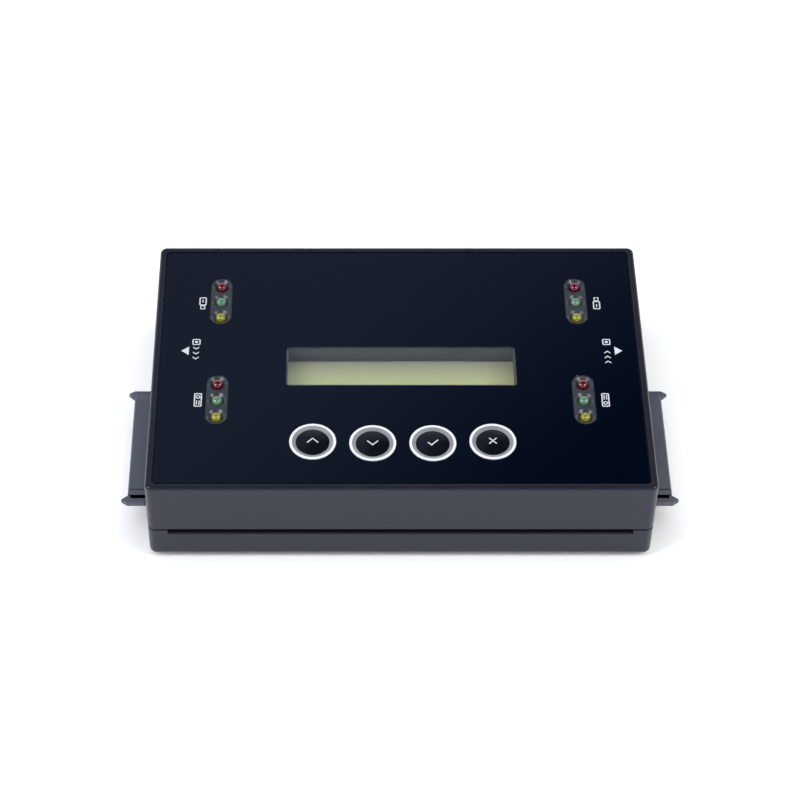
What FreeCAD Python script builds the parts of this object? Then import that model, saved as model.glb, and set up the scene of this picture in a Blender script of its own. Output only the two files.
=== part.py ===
import FreeCAD, Part
import math
import os

# A hand-held duplicator for hard disks and memory sticks: a two-part moulded box with a glossy
# face panel, a character display, four round keys and four groups of lamps on top.  One drive
# socket and one stick socket open in each side wall; the power inlet and the power switch are
# in the back wall.
#
# Millimetres.  +X runs from the source side to the target side, +Y from front to back, +Z up.
# The origin is on the table, under the middle of the box.

# ---------------------------------------------------------------- driving dimensions

# the box
shell_width = 138.5
shell_depth = 92.6
shell_height = 28.4
wall = 2.4
floor_thickness = 2.2
top_thickness = 2.4
seam_height = 10.9
corner_radius = 2.0
top_edge_radius = 0.9
bottom_edge_radius = 1.8
seam_bevel = 0.35
tongue_thickness = 0.9
fit_gap = 0.1
slot_inset = 5.45
slot_height = 1.5
slot_lip_radius = 0.35

# rubber feet
foot_radius = 5.0
foot_stand = 1.2
foot_edge = 0.4
foot_recess = 0.8
foot_inset_x = 12.2
foot_inset_y = 15.8

# screws that close the box, and the posts that they run in
case_screw_inset_x = 8.8
case_screw_inset_y = 6.4
case_screw_radius = 1.5
case_screw_length = 12.0
case_screw_head_radius = 2.7
case_screw_head_height = 2.0
post_radius = 3.4
post_top_height = 8.0
boss_radius = 3.0
screw_gap = 0.06

# face panel
rim_width = 1.8
panel_recess = 0.3
panel_thickness = 0.5
panel_gap = 0.4
panel_corner_radius = 1.0
rim_edge_radius = 0.2

# display window and display module
face_shift = 0.55
window_width = 64.5
window_depth = 14.9
window_from_front = 45.35
window_corner_radius = 1.0
lens_thickness = 0.8
lens_lap = 1.2
lens_edge = 0.12
skirt_wall = 1.2
display_drop = 6.75
glass_side_gap = 0.7
glass_end_gap = 2.6
glass_thickness = 2.2
backlight_thickness = 4.4
frame_metal = 0.4
frame_view_margin = 0.75
frame_lip_x = 2.6
frame_lip_y = 5.0
display_board_margin_x = 4.4
display_board_margin_y = 4.7
display_hole_inset = 2.5
display_boss_radius = 2.2

# keys
key_count = 4
key_pitch = 16.4
key_from_front = 16.4
outer_key_setback = 0.55
ring_radius = 6.4
ring_rise = 0.35
ring_edge_radius = 0.3
ring_barrel_radius = 5.5
ring_bevel_width = 1.1
ring_bevel_height = 0.5
cap_radius = 4.5
cap_crown = 0.55
cap_proud = 0.2
cap_edge_radius = 0.25
cap_flange_radius = 5.2
cap_flange_height = 0.6
key_travel = 0.4
key_switch_size = 6.0
key_switch_height = 3.5
plunger_radius = 1.75
plunger_stand = 0.9

# lamps
lamp_from_side = 18.3
lamp_shift = 0.15
lamp_group_shift = 1.4
lamp_pitch = 6.1
lamp_radius = 1.5
lamp_length = 5.4
lamp_sink = 1.0
lamp_flange_radius = 1.9
lamp_flange_height = 1.0
lamp_hole_radius = 1.65
lamp_seat_depth = 0.55
lamp_slot_width = 6.1
lamp_lead = 0.5
lamp_lead_pitch = 1.27
lamp_lead_slot = 2.4

# boards
board_thickness = 1.6
board_top_height = 5.8
board_gap = 0.6
key_board_top_drop = 5.4
key_board_from_front = 2.9
key_board_from_back = 8.5
key_board_arm_width = 11.0
key_board_arm_shift = 0.15
key_board_strip = 18.6
key_post_inset_x = 12.5
key_post_inset_y = 7.1
board_screw_radius = 1.1
board_screw_head_radius = 2.2
board_screw_head_height = 1.3
board_screw_length = 5.0
board_post_radius = 2.8
board_post_inset_x = 15.75
board_post_inset_y = 7.3
board_hole_gap = 0.15

# parts on the main board, and the pin rows that join the boards
link_pitch = 2.54
link_pin = 0.64
link_width = 2.5
link_strip_height = 2.5
link_pin_reach = 4.2
link_inset = 2.4
key_link_pin_count = 8
display_link_pin_count = 16
chip_size = 14.0
chip_height = 1.4
chip_lead_reach = 0.9
chip_from_side = 39.25
chip_shift = 1.0
memory_width = 18.4
memory_depth = 8.0
memory_height = 1.1
crystal_width = 11.0
crystal_depth = 4.6
crystal_height = 3.4
capacitor_radius = 3.15
capacitor_height = 7.7
capacitor_from_inlet = 14.0
capacitor_from_back = 13.4
capacitor_pitch = 9.45
coil_size = 8.0
coil_height = 4.2
coil_from_side = 35.65
coil_from_back = 25.3

# drive sockets (22 contacts, one in each side wall)
drive_socket_from_front = 31.3
drive_socket_reach = 6.25
drive_body_width = 37.5
drive_body_height = 4.6
drive_body_inside = 10.6
drive_arm_width = 1.45
drive_arm_gap = 1.1
drive_arm_bridge = 0.8
drive_arm_height = 1.6
drive_arm_drop = 0.34
drive_arm_tip = 1.7
drive_land_width = 2.0
drive_land_drop = 0.15
drive_slot_height = 1.5
drive_slot_depth = 5.0
drive_contact_pitch = 1.27
drive_signal_count = 7
drive_power_count = 15
drive_slot_spacing = 4.3
drive_key_width = 1.3
drive_key_rise = 1.1
port_gap = 0.35

# stick sockets (four contacts, one in each side wall)
stick_socket_from_back = 21.8
stick_shell_width = 13.1
stick_shell_height = 5.7
stick_shell_length = 14.0
stick_shell_metal = 0.3
stick_shell_lift = 0.4
stick_shell_radius = 0.6
stick_inset = 0.25
stick_tongue_width = 11.0
stick_tongue_thickness = 1.84
stick_tongue_drop = 0.6
stick_tongue_setback = 1.0
stick_block_length = 3.5
stick_contact_spacings = (-3.5, -1.0, 1.0, 3.5)
stick_contact_width = 1.0
stick_contact_thickness = 0.2

# power inlet
inlet_from_side = 27.25
inlet_axis_height = 6.5
inlet_body_width = 9.0
inlet_body_height = 11.0
inlet_body_length = 11.4
inlet_nose_radius = 4.0
inlet_bore_radius = 3.15
inlet_bore_depth = 9.5
inlet_pin_radius = 1.0
inlet_inset = 0.3

# power switch
switch_from_inlet = 21.5
switch_height = 19.4
switch_bezel_width = 15.0
switch_bezel_height = 10.4
switch_bezel_proud = 0.6
switch_body_width = 12.9
switch_body_height = 8.6
switch_body_length = 9.0
switch_opening_width = 10.8
switch_opening_height = 6.8
rocker_gap = 0.15
rocker_pivot_depth = 2.6
rocker_tilt = 7.0
rocker_valley = 0.3
rocker_trunnion_radius = 0.9
terminal_width = 4.0
terminal_thickness = 0.6
terminal_length = 5.0
terminal_spacing = 3.4
wire_radius = 0.7
wire_bend = 4.0

# ---------------------------------------------------------------- levels and places

base_z = foot_stand
seam_z = base_z + seam_height
top_z = base_z + shell_height
floor_z = base_z + floor_thickness
ceiling_z = top_z - top_thickness
panel_z = top_z - panel_recess
panel_seat_z = panel_z - panel_thickness
lens_seat_z = panel_seat_z - lens_thickness

half_width = shell_width / 2
half_depth = shell_depth / 2
cavity_width = shell_width - 2 * wall
cavity_depth = shell_depth - 2 * wall
slot_width = shell_width - 2 * slot_inset
cavity_radius = max(corner_radius - wall / 2, 0.4)
tongue_height = slot_height + 0.7

window_y = window_from_front - half_depth
frame_opening_width = window_width + 2 * frame_view_margin
frame_opening_depth = window_depth + 2 * frame_view_margin
frame_width = frame_opening_width + 2 * frame_lip_x
frame_depth = frame_opening_depth + 2 * frame_lip_y
glass_width = frame_width - 2 * (frame_metal + glass_side_gap)
glass_depth = frame_depth - 2 * (frame_metal + glass_end_gap)
display_board_width = frame_width + 2 * display_board_margin_x
display_board_depth = frame_depth + 2 * display_board_margin_y
display_z = panel_z - display_drop
frame_top_z = display_z + frame_metal
skirt_z = frame_top_z + 1.5 * fit_gap
glass_bottom_z = display_z - glass_thickness
display_board_top_z = glass_bottom_z - backlight_thickness
display_board_z = display_board_top_z - board_thickness

main_board_top_z = base_z + board_top_height
main_board_z = main_board_top_z - board_thickness
main_board_width = cavity_width - 2 * board_gap
main_board_depth = cavity_depth - 2 * board_gap
key_board_top_z = ceiling_z - key_board_top_drop
key_board_z = key_board_top_z - board_thickness

ring_top_z = panel_z + ring_rise
cap_top_z = ring_top_z + cap_proud
cap_edge_z = cap_top_z - cap_crown
key_switch_top_z = key_board_top_z + key_switch_height
cap_bottom_z = key_switch_top_z + plunger_stand
ring_inner_radius = cap_radius + fit_gap

lamp_top_z = panel_z - lamp_sink + lamp_radius
lamp_bottom_z = lamp_top_z - lamp_length

case_screw_x = half_width - case_screw_inset_x
case_screw_y = half_depth - case_screw_inset_y
foot_x = half_width - foot_inset_x
foot_y = half_depth - foot_inset_y

drive_socket_y = drive_socket_from_front - half_depth
drive_body_z = main_board_top_z
drive_body_top_z = drive_body_z + drive_body_height
drive_arm_top_z = drive_body_top_z - drive_arm_drop
drive_span = drive_body_width + drive_arm_gap + 2 * drive_arm_width
drive_body_back = drive_socket_y + drive_span / 2 - drive_arm_width
drive_body_front = drive_body_back - drive_body_width
stick_socket_y = half_depth - stick_socket_from_back
stick_shell_z = main_board_top_z + stick_shell_lift
stick_shell_top_z = stick_shell_z + stick_shell_height
inlet_x = half_width - inlet_from_side
inlet_z = main_board_top_z + inlet_axis_height
switch_x = inlet_x - switch_from_inlet
switch_z = base_z + switch_height

key_y = key_from_front - half_depth
lamp_column_x = half_width - lamp_from_side
lamp_group_y = (stick_socket_y, drive_socket_y + lamp_group_shift)
key_board_front = cavity_depth / 2 - key_board_from_front
key_board_back = cavity_depth / 2 - key_board_from_back
key_board_arm_x = lamp_column_x + key_board_arm_shift
key_board_arm_inner = key_board_arm_x - key_board_arm_width / 2
key_board_arm_outer = key_board_arm_x + key_board_arm_width / 2
board_post_x = main_board_width / 2 - board_post_inset_x
board_post_y = main_board_depth / 2 - board_post_inset_y
display_hole_spacing_x = display_board_width - 2 * display_hole_inset
display_hole_spacing_y = display_board_depth - 2 * display_hole_inset
chip_x = half_width - chip_from_side
chip_y = drive_socket_y + chip_shift
capacitor_x = inlet_x - capacitor_from_inlet
capacitor_y = half_depth - capacitor_from_back
coil_x = half_width - coil_from_side
coil_y = half_depth - coil_from_back

corners = [(sx, sy) for sx in (-1, 1) for sy in (-1, 1)]
case_screw_places = [(sx * case_screw_x, sy * case_screw_y) for sx, sy in corners]
foot_places = [(sx * foot_x, sy * foot_y) for sx, sy in corners]
board_post_places = [(sx * board_post_x, sy * board_post_y) for sx, sy in corners]
display_post_places = [
    (face_shift + sx * display_hole_spacing_x / 2, window_y + sy * display_hole_spacing_y / 2)
    for sx, sy in corners
]
key_post_places = [(sx * key_board_arm_x, sum(lamp_group_y) / 2) for sx in (-1, 1)] + [
    (sx * (key_board_arm_x - key_post_inset_x), key_post_inset_y - key_board_front)
    for sx in (-1, 1)
]
lamp_columns = [lamp_shift + sx * lamp_column_x for sx in (-1, 1)]
key_link_place = (0.0, -key_board_front + key_board_strip - link_inset)
display_link_place = (face_shift, window_y + display_board_depth / 2 - link_inset)


def key_places():
    """Centres of the keys: an even row whose two outer keys sit a little further back."""
    places = []
    for index in range(key_count):
        outer = index in (0, key_count - 1)
        x = face_shift + (index - (key_count - 1) / 2) * key_pitch
        places.append((x, key_y + (outer_key_setback if outer else 0.0)))
    return places


# ---------------------------------------------------------------- shape helpers

def vec(x, y, z):
    return FreeCAD.Vector(x, y, z)


def box(x0, x1, y0, y1, z0, z1):
    """A block between two corners, given in either order."""
    low = vec(min(x0, x1), min(y0, y1), min(z0, z1))
    return Part.makeBox(abs(x1 - x0), abs(y1 - y0), abs(z1 - z0), low)


def rod(x, y, z0, z1, radius):
    """An upright round bar."""
    return Part.makeCylinder(radius, z1 - z0, vec(x, y, z0))


def rod_along_y(x, z, y0, y1, radius):
    """A round bar that lies from front to back."""
    return Part.makeCylinder(radius, y1 - y0, vec(x, y0, z), vec(0, 1, 0))


def rounded_block(width, depth, radius, z0, z1, x=0.0, y=0.0):
    """An upright prism on a rectangle with round corners; a slot when the radius is half its width."""
    edges = []
    ends = []
    for sx, sy, start in ((1, 1, 0), (-1, 1, 90), (-1, -1, 180), (1, -1, 270)):
        cx = x + sx * (width / 2 - radius)
        cy = y + sy * (depth / 2 - radius)
        points = []
        for angle in (start, start + 45, start + 90):
            turn = math.radians(angle)
            points.append(vec(cx + radius * math.cos(turn), cy + radius * math.sin(turn), z0))
        edges.append(Part.Arc(*points).toShape())
        ends.append((points[0], points[2]))
    for index in range(4):
        leave = ends[index][1]
        arrive = ends[(index + 1) % 4][0]
        if leave.distanceToPoint(arrive) > 1e-6:
            edges.append(Part.makeLine(leave, arrive))
    wire = Part.Wire(Part.__sortEdges__(edges))
    return Part.Face(wire).extrude(vec(0, 0, z1 - z0))


def prism(points, direction):
    """A flat polygon swept straight along a direction."""
    wire = Part.makePolygon(points + [points[0]])
    return Part.Face(wire).extrude(direction)


def turned(profile, x, y):
    """A closed outline of (radius, height) points turned about an upright axis."""
    points = [vec(x + r, y, z) for r, z in profile]
    face = Part.Face(Part.makePolygon(points + [points[0]]))
    return face.revolve(vec(x, y, 0), vec(0, 0, 1), 360)


def level_edges(shape, z):
    """The edges of a shape that lie flat at one height."""
    return [e for e in shape.Edges
            if abs(e.BoundBox.ZMin - z) < 1e-5 and abs(e.BoundBox.ZMax - z) < 1e-5]


def joined(first, others):
    """One solid from overlapping solids."""
    return first.fuse(others).removeSplitter() if others else first


def group(solids):
    """Separate solids that share one node."""
    return Part.makeCompound(solids)


def mirrored(shape):
    """The same shape for the other side wall."""
    return shape.mirror(vec(0, 0, 0), vec(1, 0, 0))


def screw_shape(x, y, seat_z, up, radius, length, head_radius, head_height):
    """A pan head screw; up is +1 if its shank points up from the head's seat."""
    soft = head_radius * 0.35
    return turned([(0, seat_z - up * head_height), (head_radius - soft, seat_z - up * head_height),
                   (head_radius, seat_z - up * (head_height - soft)), (head_radius, seat_z),
                   (radius, seat_z), (radius, seat_z + up * length), (0, seat_z + up * length)],
                  x, y)


def cross_recess(x, y, seat_z, up, head_radius, head_height):
    """The two crossed slots in a screw's head, as shapes to cut away."""
    face_z = seat_z - up * head_height
    depth_z = face_z + up * head_height * 0.5
    reach = head_radius * 0.55
    blade = head_radius * 0.14
    return [box(x - reach, x + reach, y - blade, y + blade, face_z, depth_z),
            box(x - blade, x + blade, y - reach, y + reach, face_z, depth_z)]


# ---------------------------------------------------------------- the box

def tongue_block(grow, z0, z1):
    """The outline of the tongue inside the seam, grown all round by a clearance."""
    spread = 2 * (tongue_thickness + grow)
    return rounded_block(cavity_width + spread, cavity_depth + spread,
                         cavity_radius + tongue_thickness + grow, z0, z1)


def port_cuts(z_low, z_high):
    """The openings that the sockets need in both side walls, between two heights."""
    cuts = []
    reach = wall + 2.0
    for side in (-1, 1):
        outer = side * (half_width + 1.0)
        inner = side * (half_width - reach)
        half_drive = drive_span / 2 + port_gap
        cuts.append((outer, inner, drive_socket_y, half_drive,
                     drive_body_z - port_gap, drive_body_top_z + port_gap))
        half_stick = stick_shell_width / 2 + port_gap
        cuts.append((outer, inner, stick_socket_y, half_stick,
                     stick_shell_z - port_gap, stick_shell_top_z + port_gap))
    blocks = []
    for outer, inner, y, half, low, high in cuts:
        low = max(low, z_low)
        high = max(high, seam_z) if z_high > seam_z else z_high
        blocks.append(box(outer, inner, y - half, y + half, low, high))
    return blocks


def inlet_cut():
    """The round hole for the power inlet's nose, through the back wall."""
    return rod_along_y(inlet_x, inlet_z, half_depth - wall - 1.0, half_depth + 1.0,
                       inlet_nose_radius + port_gap / 2)


def lower_shell():
    """The tray: floor, walls, posts, foot recesses, socket notches and the long slot in front."""
    tray = rounded_block(shell_width, shell_depth, corner_radius, base_z, seam_z)
    tray = tray.makeFillet(bottom_edge_radius, level_edges(tray, base_z))
    tray = tray.makeChamfer(seam_bevel, level_edges(tray, seam_z))
    tray = tray.cut(rounded_block(cavity_width, cavity_depth, cavity_radius, floor_z, seam_z + 1))
    tray = tray.cut(tongue_block(fit_gap, seam_z - tongue_height - fit_gap, seam_z + 1))

    posts = [rod(x, y, floor_z - 0.5, base_z + post_top_height, post_radius)
             for x, y in case_screw_places]
    posts += [rod(x, y, floor_z - 0.5, main_board_z, board_post_radius)
              for x, y in board_post_places]
    for (x, y), (sx, sy) in zip(case_screw_places, corners):
        rib_top = main_board_top_z
        posts.append(box(x, sx * (half_width - wall / 2), y - 0.6, y + 0.6, floor_z - 0.5, rib_top))
        posts.append(box(x - 0.6, x + 0.6, y, sy * (half_depth - wall / 2), floor_z - 0.5, rib_top))
    tray = joined(tray, posts)

    cuts = port_cuts(floor_z, seam_z + 1) + [inlet_cut()]
    head_seat = case_screw_seat()
    for x, y in case_screw_places:
        cuts.append(rod(x, y, base_z - 1, base_z + post_top_height + 1,
                        case_screw_radius + screw_gap + 0.2))
        cuts.append(rod(x, y, base_z - 1, head_seat, case_screw_head_radius + 0.3))
    for x, y in board_post_places:
        cuts.append(rod(x, y, floor_z - 1.0, main_board_z + 1, board_screw_radius + screw_gap))
    for x, y in foot_places:
        cuts.append(rod(x, y, base_z - 1, base_z + foot_recess, foot_radius + fit_gap))
    cuts.append(front_slot())
    return tray.cut(cuts)


def case_screw_seat():
    """The height of the shoulder that a closing screw's head pulls on, deep in its post."""
    return base_z + case_screw_head_height + 1.6


def front_slot():
    """The long slot under the seam: its floor has round ends in plan and a soft lower lip."""
    depth = wall - tongue_thickness - fit_gap
    low = seam_z - slot_height
    half = slot_width / 2
    slot = box(-half, half, -half_depth - 1, -half_depth + depth + fit_gap / 2, low, seam_z + 1)
    ends = [e for e in slot.Edges
            if abs(e.BoundBox.YMax + half_depth - depth - fit_gap / 2) < 1e-5
            and e.BoundBox.YLength < 1e-6 and e.BoundBox.XLength < 1e-6]
    slot = slot.makeFillet(depth * 0.8, ends)
    lip = prism([vec(-half, -half_depth - 1, low), vec(-half, -half_depth - 1, low - slot_lip_radius),
                 vec(-half, -half_depth, low - slot_lip_radius),
                 vec(-half, -half_depth + slot_lip_radius, low)], vec(2 * half, 0, 0))
    return slot.fuse(lip)


def upper_shell():
    """The cover: panel pocket, display skirt, key bores, lamp seats, bosses and the seam tongue."""
    cover = rounded_block(shell_width, shell_depth, corner_radius, seam_z, top_z)
    cover = cover.makeFillet(top_edge_radius, level_edges(cover, top_z))
    cover = cover.makeChamfer(seam_bevel, level_edges(cover, seam_z))
    pocket = rounded_block(pocket_width(), pocket_depth(), panel_corner_radius,
                           panel_seat_z, top_z + 1)
    cover = cover.cut(pocket)
    rim = [e for e in level_edges(cover, top_z)]
    cover = cover.makeFillet(rim_edge_radius, rim_inner_edges(rim))
    cover = cover.cut(rounded_block(cavity_width, cavity_depth, cavity_radius, seam_z - 1, ceiling_z))

    tongue = tongue_block(0.0, seam_z - tongue_height, seam_z + 1)
    tongue = tongue.cut(rounded_block(cavity_width, cavity_depth, cavity_radius,
                                      seam_z - tongue_height - 1, seam_z + 2))
    inside = [tongue]
    inside.append(rounded_block(window_width + 2 * skirt_wall, window_depth + 2 * skirt_wall,
                                window_corner_radius + skirt_wall, skirt_z, ceiling_z + 0.5,
                                face_shift, window_y))
    inside += [rod(x, y, base_z + post_top_height + fit_gap, ceiling_z + 0.5, boss_radius)
               for x, y in case_screw_places]
    inside += [rod(x, y, display_board_top_z, ceiling_z + 0.5, display_boss_radius)
               for x, y in display_post_places]
    inside += [rod(x, y, key_board_top_z, ceiling_z + 0.5, board_post_radius)
               for x, y in key_post_places]
    cover = joined(cover, inside)

    cuts = port_cuts(seam_z - tongue_height - 1, top_z) + [inlet_cut(), switch_cut()]
    cuts.append(rounded_block(window_width, window_depth, window_corner_radius, skirt_z - 1,
                              top_z, face_shift, window_y))
    cuts.append(lens_block(fit_gap, lens_seat_z, panel_seat_z + 1))
    for x, y in key_places():
        cuts.append(rod(x, y, ceiling_z - 1, panel_seat_z + 1, ring_barrel_radius + fit_gap))
    for x, y in lamp_places():
        cuts.append(rod(x, y, ceiling_z - 1, panel_seat_z + 1, lamp_hole_radius))
        cuts.append(Part.makeCone(lamp_hole_radius, lamp_slot_width / 2 - fit_gap / 2,
                                  lamp_seat_depth, vec(x, y, panel_seat_z - lamp_seat_depth)))
    for x, y in case_screw_places:
        cuts.append(rod(x, y, base_z + post_top_height, case_screw_seat() + case_screw_length + 1,
                        case_screw_radius + screw_gap))
    for x, y in display_post_places:
        cuts.append(rod(x, y, display_board_top_z - 1, display_board_z + board_screw_length + 0.5,
                        board_screw_radius + screw_gap))
    for x, y in key_post_places:
        cuts.append(rod(x, y, key_board_top_z - 1, key_board_z + board_screw_length + 0.5,
                        board_screw_radius + screw_gap))
    return cover.cut(cuts)


def rim_inner_edges(edges):
    """Of the flat edges at the top, those that bound the panel's pocket."""
    x_limit = pocket_width() / 2 + fit_gap
    y_limit = pocket_depth() / 2 + fit_gap
    return [e for e in edges
            if max(abs(e.BoundBox.XMin), abs(e.BoundBox.XMax)) < x_limit
            and max(abs(e.BoundBox.YMin), abs(e.BoundBox.YMax)) < y_limit]


def feet():
    """Round rubber pads in the floor's recesses, with a bevelled lower edge."""
    top = base_z + foot_recess
    return group([turned([(0, 0), (foot_radius - foot_edge, 0), (foot_radius, foot_edge),
                          (foot_radius, top), (0, top)], x, y) for x, y in foot_places])


def case_screws():
    """The four cross-head screws that pull the cover down onto the tray."""
    screws = []
    for x, y in case_screw_places:
        screw = screw_shape(x, y, case_screw_seat(), 1, case_screw_radius, case_screw_length,
                            case_screw_head_radius, case_screw_head_height)
        screws.append(screw.cut(cross_recess(x, y, case_screw_seat(), 1, case_screw_head_radius,
                                             case_screw_head_height)))
    return group(screws)


# ---------------------------------------------------------------- face panel and display

def pocket_width():
    """The width of the pocket in the cover that the face panel lies in."""
    return shell_width - 2 * rim_width


def pocket_depth():
    """The depth of that pocket, from front to back."""
    return shell_depth - 2 * rim_width


def lamp_places():
    """Centres of all twelve lamps, group by group."""
    return [(x, y + step * lamp_pitch) for x in lamp_columns for y in lamp_group_y
            for step in (1, 0, -1)]


def face_panel():
    """The glossy sheet in the cover's pocket, cut out for the window, the keys and the lamps."""
    sheet = rounded_block(pocket_width() - 2 * panel_gap, pocket_depth() - 2 * panel_gap,
                          panel_corner_radius - panel_gap, panel_seat_z, panel_z)
    cuts = [rounded_block(window_width, window_depth, window_corner_radius, panel_seat_z - 1,
                          panel_z + 1, face_shift, window_y)]
    for x, y in key_places():
        cuts.append(rod(x, y, panel_seat_z - 1, panel_z + 1, ring_barrel_radius + fit_gap))
    for x in lamp_columns:
        for y in lamp_group_y:
            cuts.append(rounded_block(lamp_slot_width, lamp_slot_width + 2 * lamp_pitch,
                                      lamp_slot_width / 2, panel_seat_z - 1, panel_z + 1, x, y))
    return sheet.cut(cuts)


def lens_block(grow, z0, z1):
    """The outline of the window lens, grown all round by a clearance."""
    return rounded_block(window_width + 2 * (lens_lap + grow), window_depth + 2 * (lens_lap + grow),
                         window_corner_radius + grow, z0, z1, face_shift, window_y)


def window_lens():
    """The clear lens: a flange under the panel, and a middle that fills the panel's opening."""
    middle = rounded_block(window_width - 2 * fit_gap, window_depth - 2 * fit_gap,
                           window_corner_radius - fit_gap, panel_seat_z, panel_z,
                           face_shift, window_y)
    middle = middle.makeChamfer(lens_edge, level_edges(middle, panel_z))
    return lens_block(0.0, lens_seat_z, panel_seat_z).fuse(middle).removeSplitter()


def display_frame():
    """The stamped metal frame: a top plate with the viewing opening and four thin side walls."""
    outer = rounded_block(frame_width, frame_depth, 0.8, display_board_top_z, frame_top_z,
                          face_shift, window_y)
    inner = box(face_shift - frame_width / 2 + frame_metal, face_shift + frame_width / 2 - frame_metal,
                window_y - frame_depth / 2 + frame_metal, window_y + frame_depth / 2 - frame_metal,
                display_board_top_z - 1, display_z)
    opening = box(face_shift - frame_opening_width / 2, face_shift + frame_opening_width / 2,
                  window_y - frame_opening_depth / 2, window_y + frame_opening_depth / 2,
                  display_z - 1, frame_top_z + 1)
    return outer.cut([inner, opening])


def display_glass():
    """The glass cell, an upper and a lower pane with the lower one standing out at the back."""
    middle = display_z - glass_thickness / 2
    step = 1.6
    upper = box(face_shift - glass_width / 2, face_shift + glass_width / 2,
                window_y - glass_depth / 2, window_y + glass_depth / 2 - step, middle, display_z)
    lower = box(face_shift - glass_width / 2, face_shift + glass_width / 2,
                window_y - glass_depth / 2, window_y + glass_depth / 2, glass_bottom_z, middle)
    return upper.fuse(lower).removeSplitter()


def display_backlight():
    """The white light guide under the glass, with a step that holds the glass in place."""
    return box(face_shift - glass_width / 2, face_shift + glass_width / 2,
               window_y - glass_depth / 2, window_y + glass_depth / 2,
               display_board_top_z, glass_bottom_z)


def board_with_holes(outline, places, z, radius):
    """A circuit board with a round hole at each place."""
    return outline.cut([rod(x, y, z - 1, z + board_thickness + 1, radius) for x, y in places])


def display_board():
    """The display module's own circuit board."""
    outline = box(face_shift - display_board_width / 2, face_shift + display_board_width / 2,
                  window_y - display_board_depth / 2, window_y + display_board_depth / 2,
                  display_board_z, display_board_top_z)
    return board_with_holes(outline, display_post_places, display_board_z,
                            board_screw_radius + board_hole_gap)


def screws_up(places, seat_z):
    """Small board screws driven upwards, with their heads under the board."""
    return group([screw_shape(x, y, seat_z, 1, board_screw_radius, board_screw_length,
                              board_screw_head_radius, board_screw_head_height)
                  for x, y in places])


# ---------------------------------------------------------------- keys

def key_ring(place):
    """A bright ring pressed into the cover: barrel, flat flange with a soft edge, inner bevel."""
    x, y = place
    bevel_z = ring_top_z - ring_bevel_height
    soft = ring_edge_radius * 0.3
    return turned([(ring_inner_radius, ceiling_z), (ring_barrel_radius, ceiling_z),
                   (ring_barrel_radius, panel_z), (ring_radius, panel_z),
                   (ring_radius, ring_top_z - ring_edge_radius),
                   (ring_radius - soft, ring_top_z - soft),
                   (ring_radius - ring_edge_radius, ring_top_z),
                   (ring_inner_radius + ring_bevel_width, ring_top_z),
                   (ring_inner_radius, bevel_z)], x, y)


def key_cap(place):
    """A key cap: crowned face, round skirt that slides in the ring, flange that keeps it in."""
    x, y = place
    flange_z = cap_bottom_z + cap_flange_height
    brink = cap_radius - cap_edge_radius
    middle = brink / 2
    sphere_radius = (brink ** 2 + cap_crown ** 2) / (2 * cap_crown)
    middle_z = cap_top_z - sphere_radius + math.sqrt(sphere_radius ** 2 - middle ** 2)
    outline = [vec(x + brink, y, cap_edge_z), vec(x + cap_radius, y, cap_edge_z - cap_edge_radius),
               vec(x + cap_radius, y, flange_z), vec(x + cap_flange_radius, y, flange_z),
               vec(x + cap_flange_radius, y, cap_bottom_z), vec(x, y, cap_bottom_z),
               vec(x, y, cap_top_z)]
    crown = Part.Arc(outline[-1], vec(x + middle, y, middle_z), outline[0]).toShape()
    sides = [Part.makeLine(start, end) for start, end in zip(outline, outline[1:])]
    face = Part.Face(Part.Wire(sides + [crown]))
    return face.revolve(vec(x, y, 0), vec(0, 0, 1), 360)


def key_switch(place):
    """The body of the push switch under a key, with a round bore for its plunger."""
    x, y = place
    half = key_switch_size / 2
    body = box(x - half, x + half, y - half, y + half, key_board_top_z, key_switch_top_z)
    body = body.makeChamfer(0.3, [e for e in body.Edges
                                  if abs(e.BoundBox.ZLength - key_switch_height) < 1e-6])
    return body.cut(rod(x, y, key_plunger_z() - key_travel - 0.2, key_switch_top_z + 1,
                        plunger_radius + fit_gap))


def key_plunger_z():
    """The height of the plunger's lower end while the key is up."""
    return key_board_top_z + 0.8 + key_travel


def key_plunger(place):
    """The plunger that the cap rests on."""
    x, y = place
    return rod(x, y, key_plunger_z(), cap_bottom_z, plunger_radius)


# ---------------------------------------------------------------- lamps

def lamp(x, y):
    """A round-nosed lamp: dome, body, flange and two leads."""
    flange_z = lamp_bottom_z + lamp_flange_height
    centre_z = lamp_top_z - lamp_radius
    body = rod(x, y, lamp_bottom_z, centre_z, lamp_radius)
    body = body.fuse([Part.makeSphere(lamp_radius, vec(x, y, centre_z), vec(0, 0, 1), 0, 90, 360),
                      rod(x, y, lamp_bottom_z, flange_z, lamp_flange_radius)]).removeSplitter()
    half = lamp_lead / 2
    leads = [box(x - half, x + half, y + step - half, y + step + half,
                 key_board_top_z, lamp_bottom_z)
             for step in (-lamp_lead_pitch / 2, lamp_lead_pitch / 2)]
    return body.fuse(leads).removeSplitter()


def lamps(step):
    """All lamps of one colour: the back, middle or front lamp of every group."""
    return group([lamp(x, y + step * lamp_pitch) for x in lamp_columns for y in lamp_group_y])


def lamp_holders():
    """The black spacer blocks that carry each group of three lamps above the key board."""
    blocks = []
    for x in lamp_columns:
        for y in lamp_group_y:
            block = rounded_block(lamp_slot_width, lamp_slot_width + 2 * lamp_pitch, 0.8,
                                  key_board_top_z, lamp_bottom_z, x, y)
            slots = [box(x - lamp_lead, x + lamp_lead, y + step * lamp_pitch - lamp_lead_slot / 2,
                         y + step * lamp_pitch + lamp_lead_slot / 2, key_board_top_z - 1,
                         lamp_bottom_z + 1) for step in (-1, 0, 1)]
            blocks.append(block.cut(slots))
    return group(blocks)


# ---------------------------------------------------------------- boards and parts on them

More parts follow.
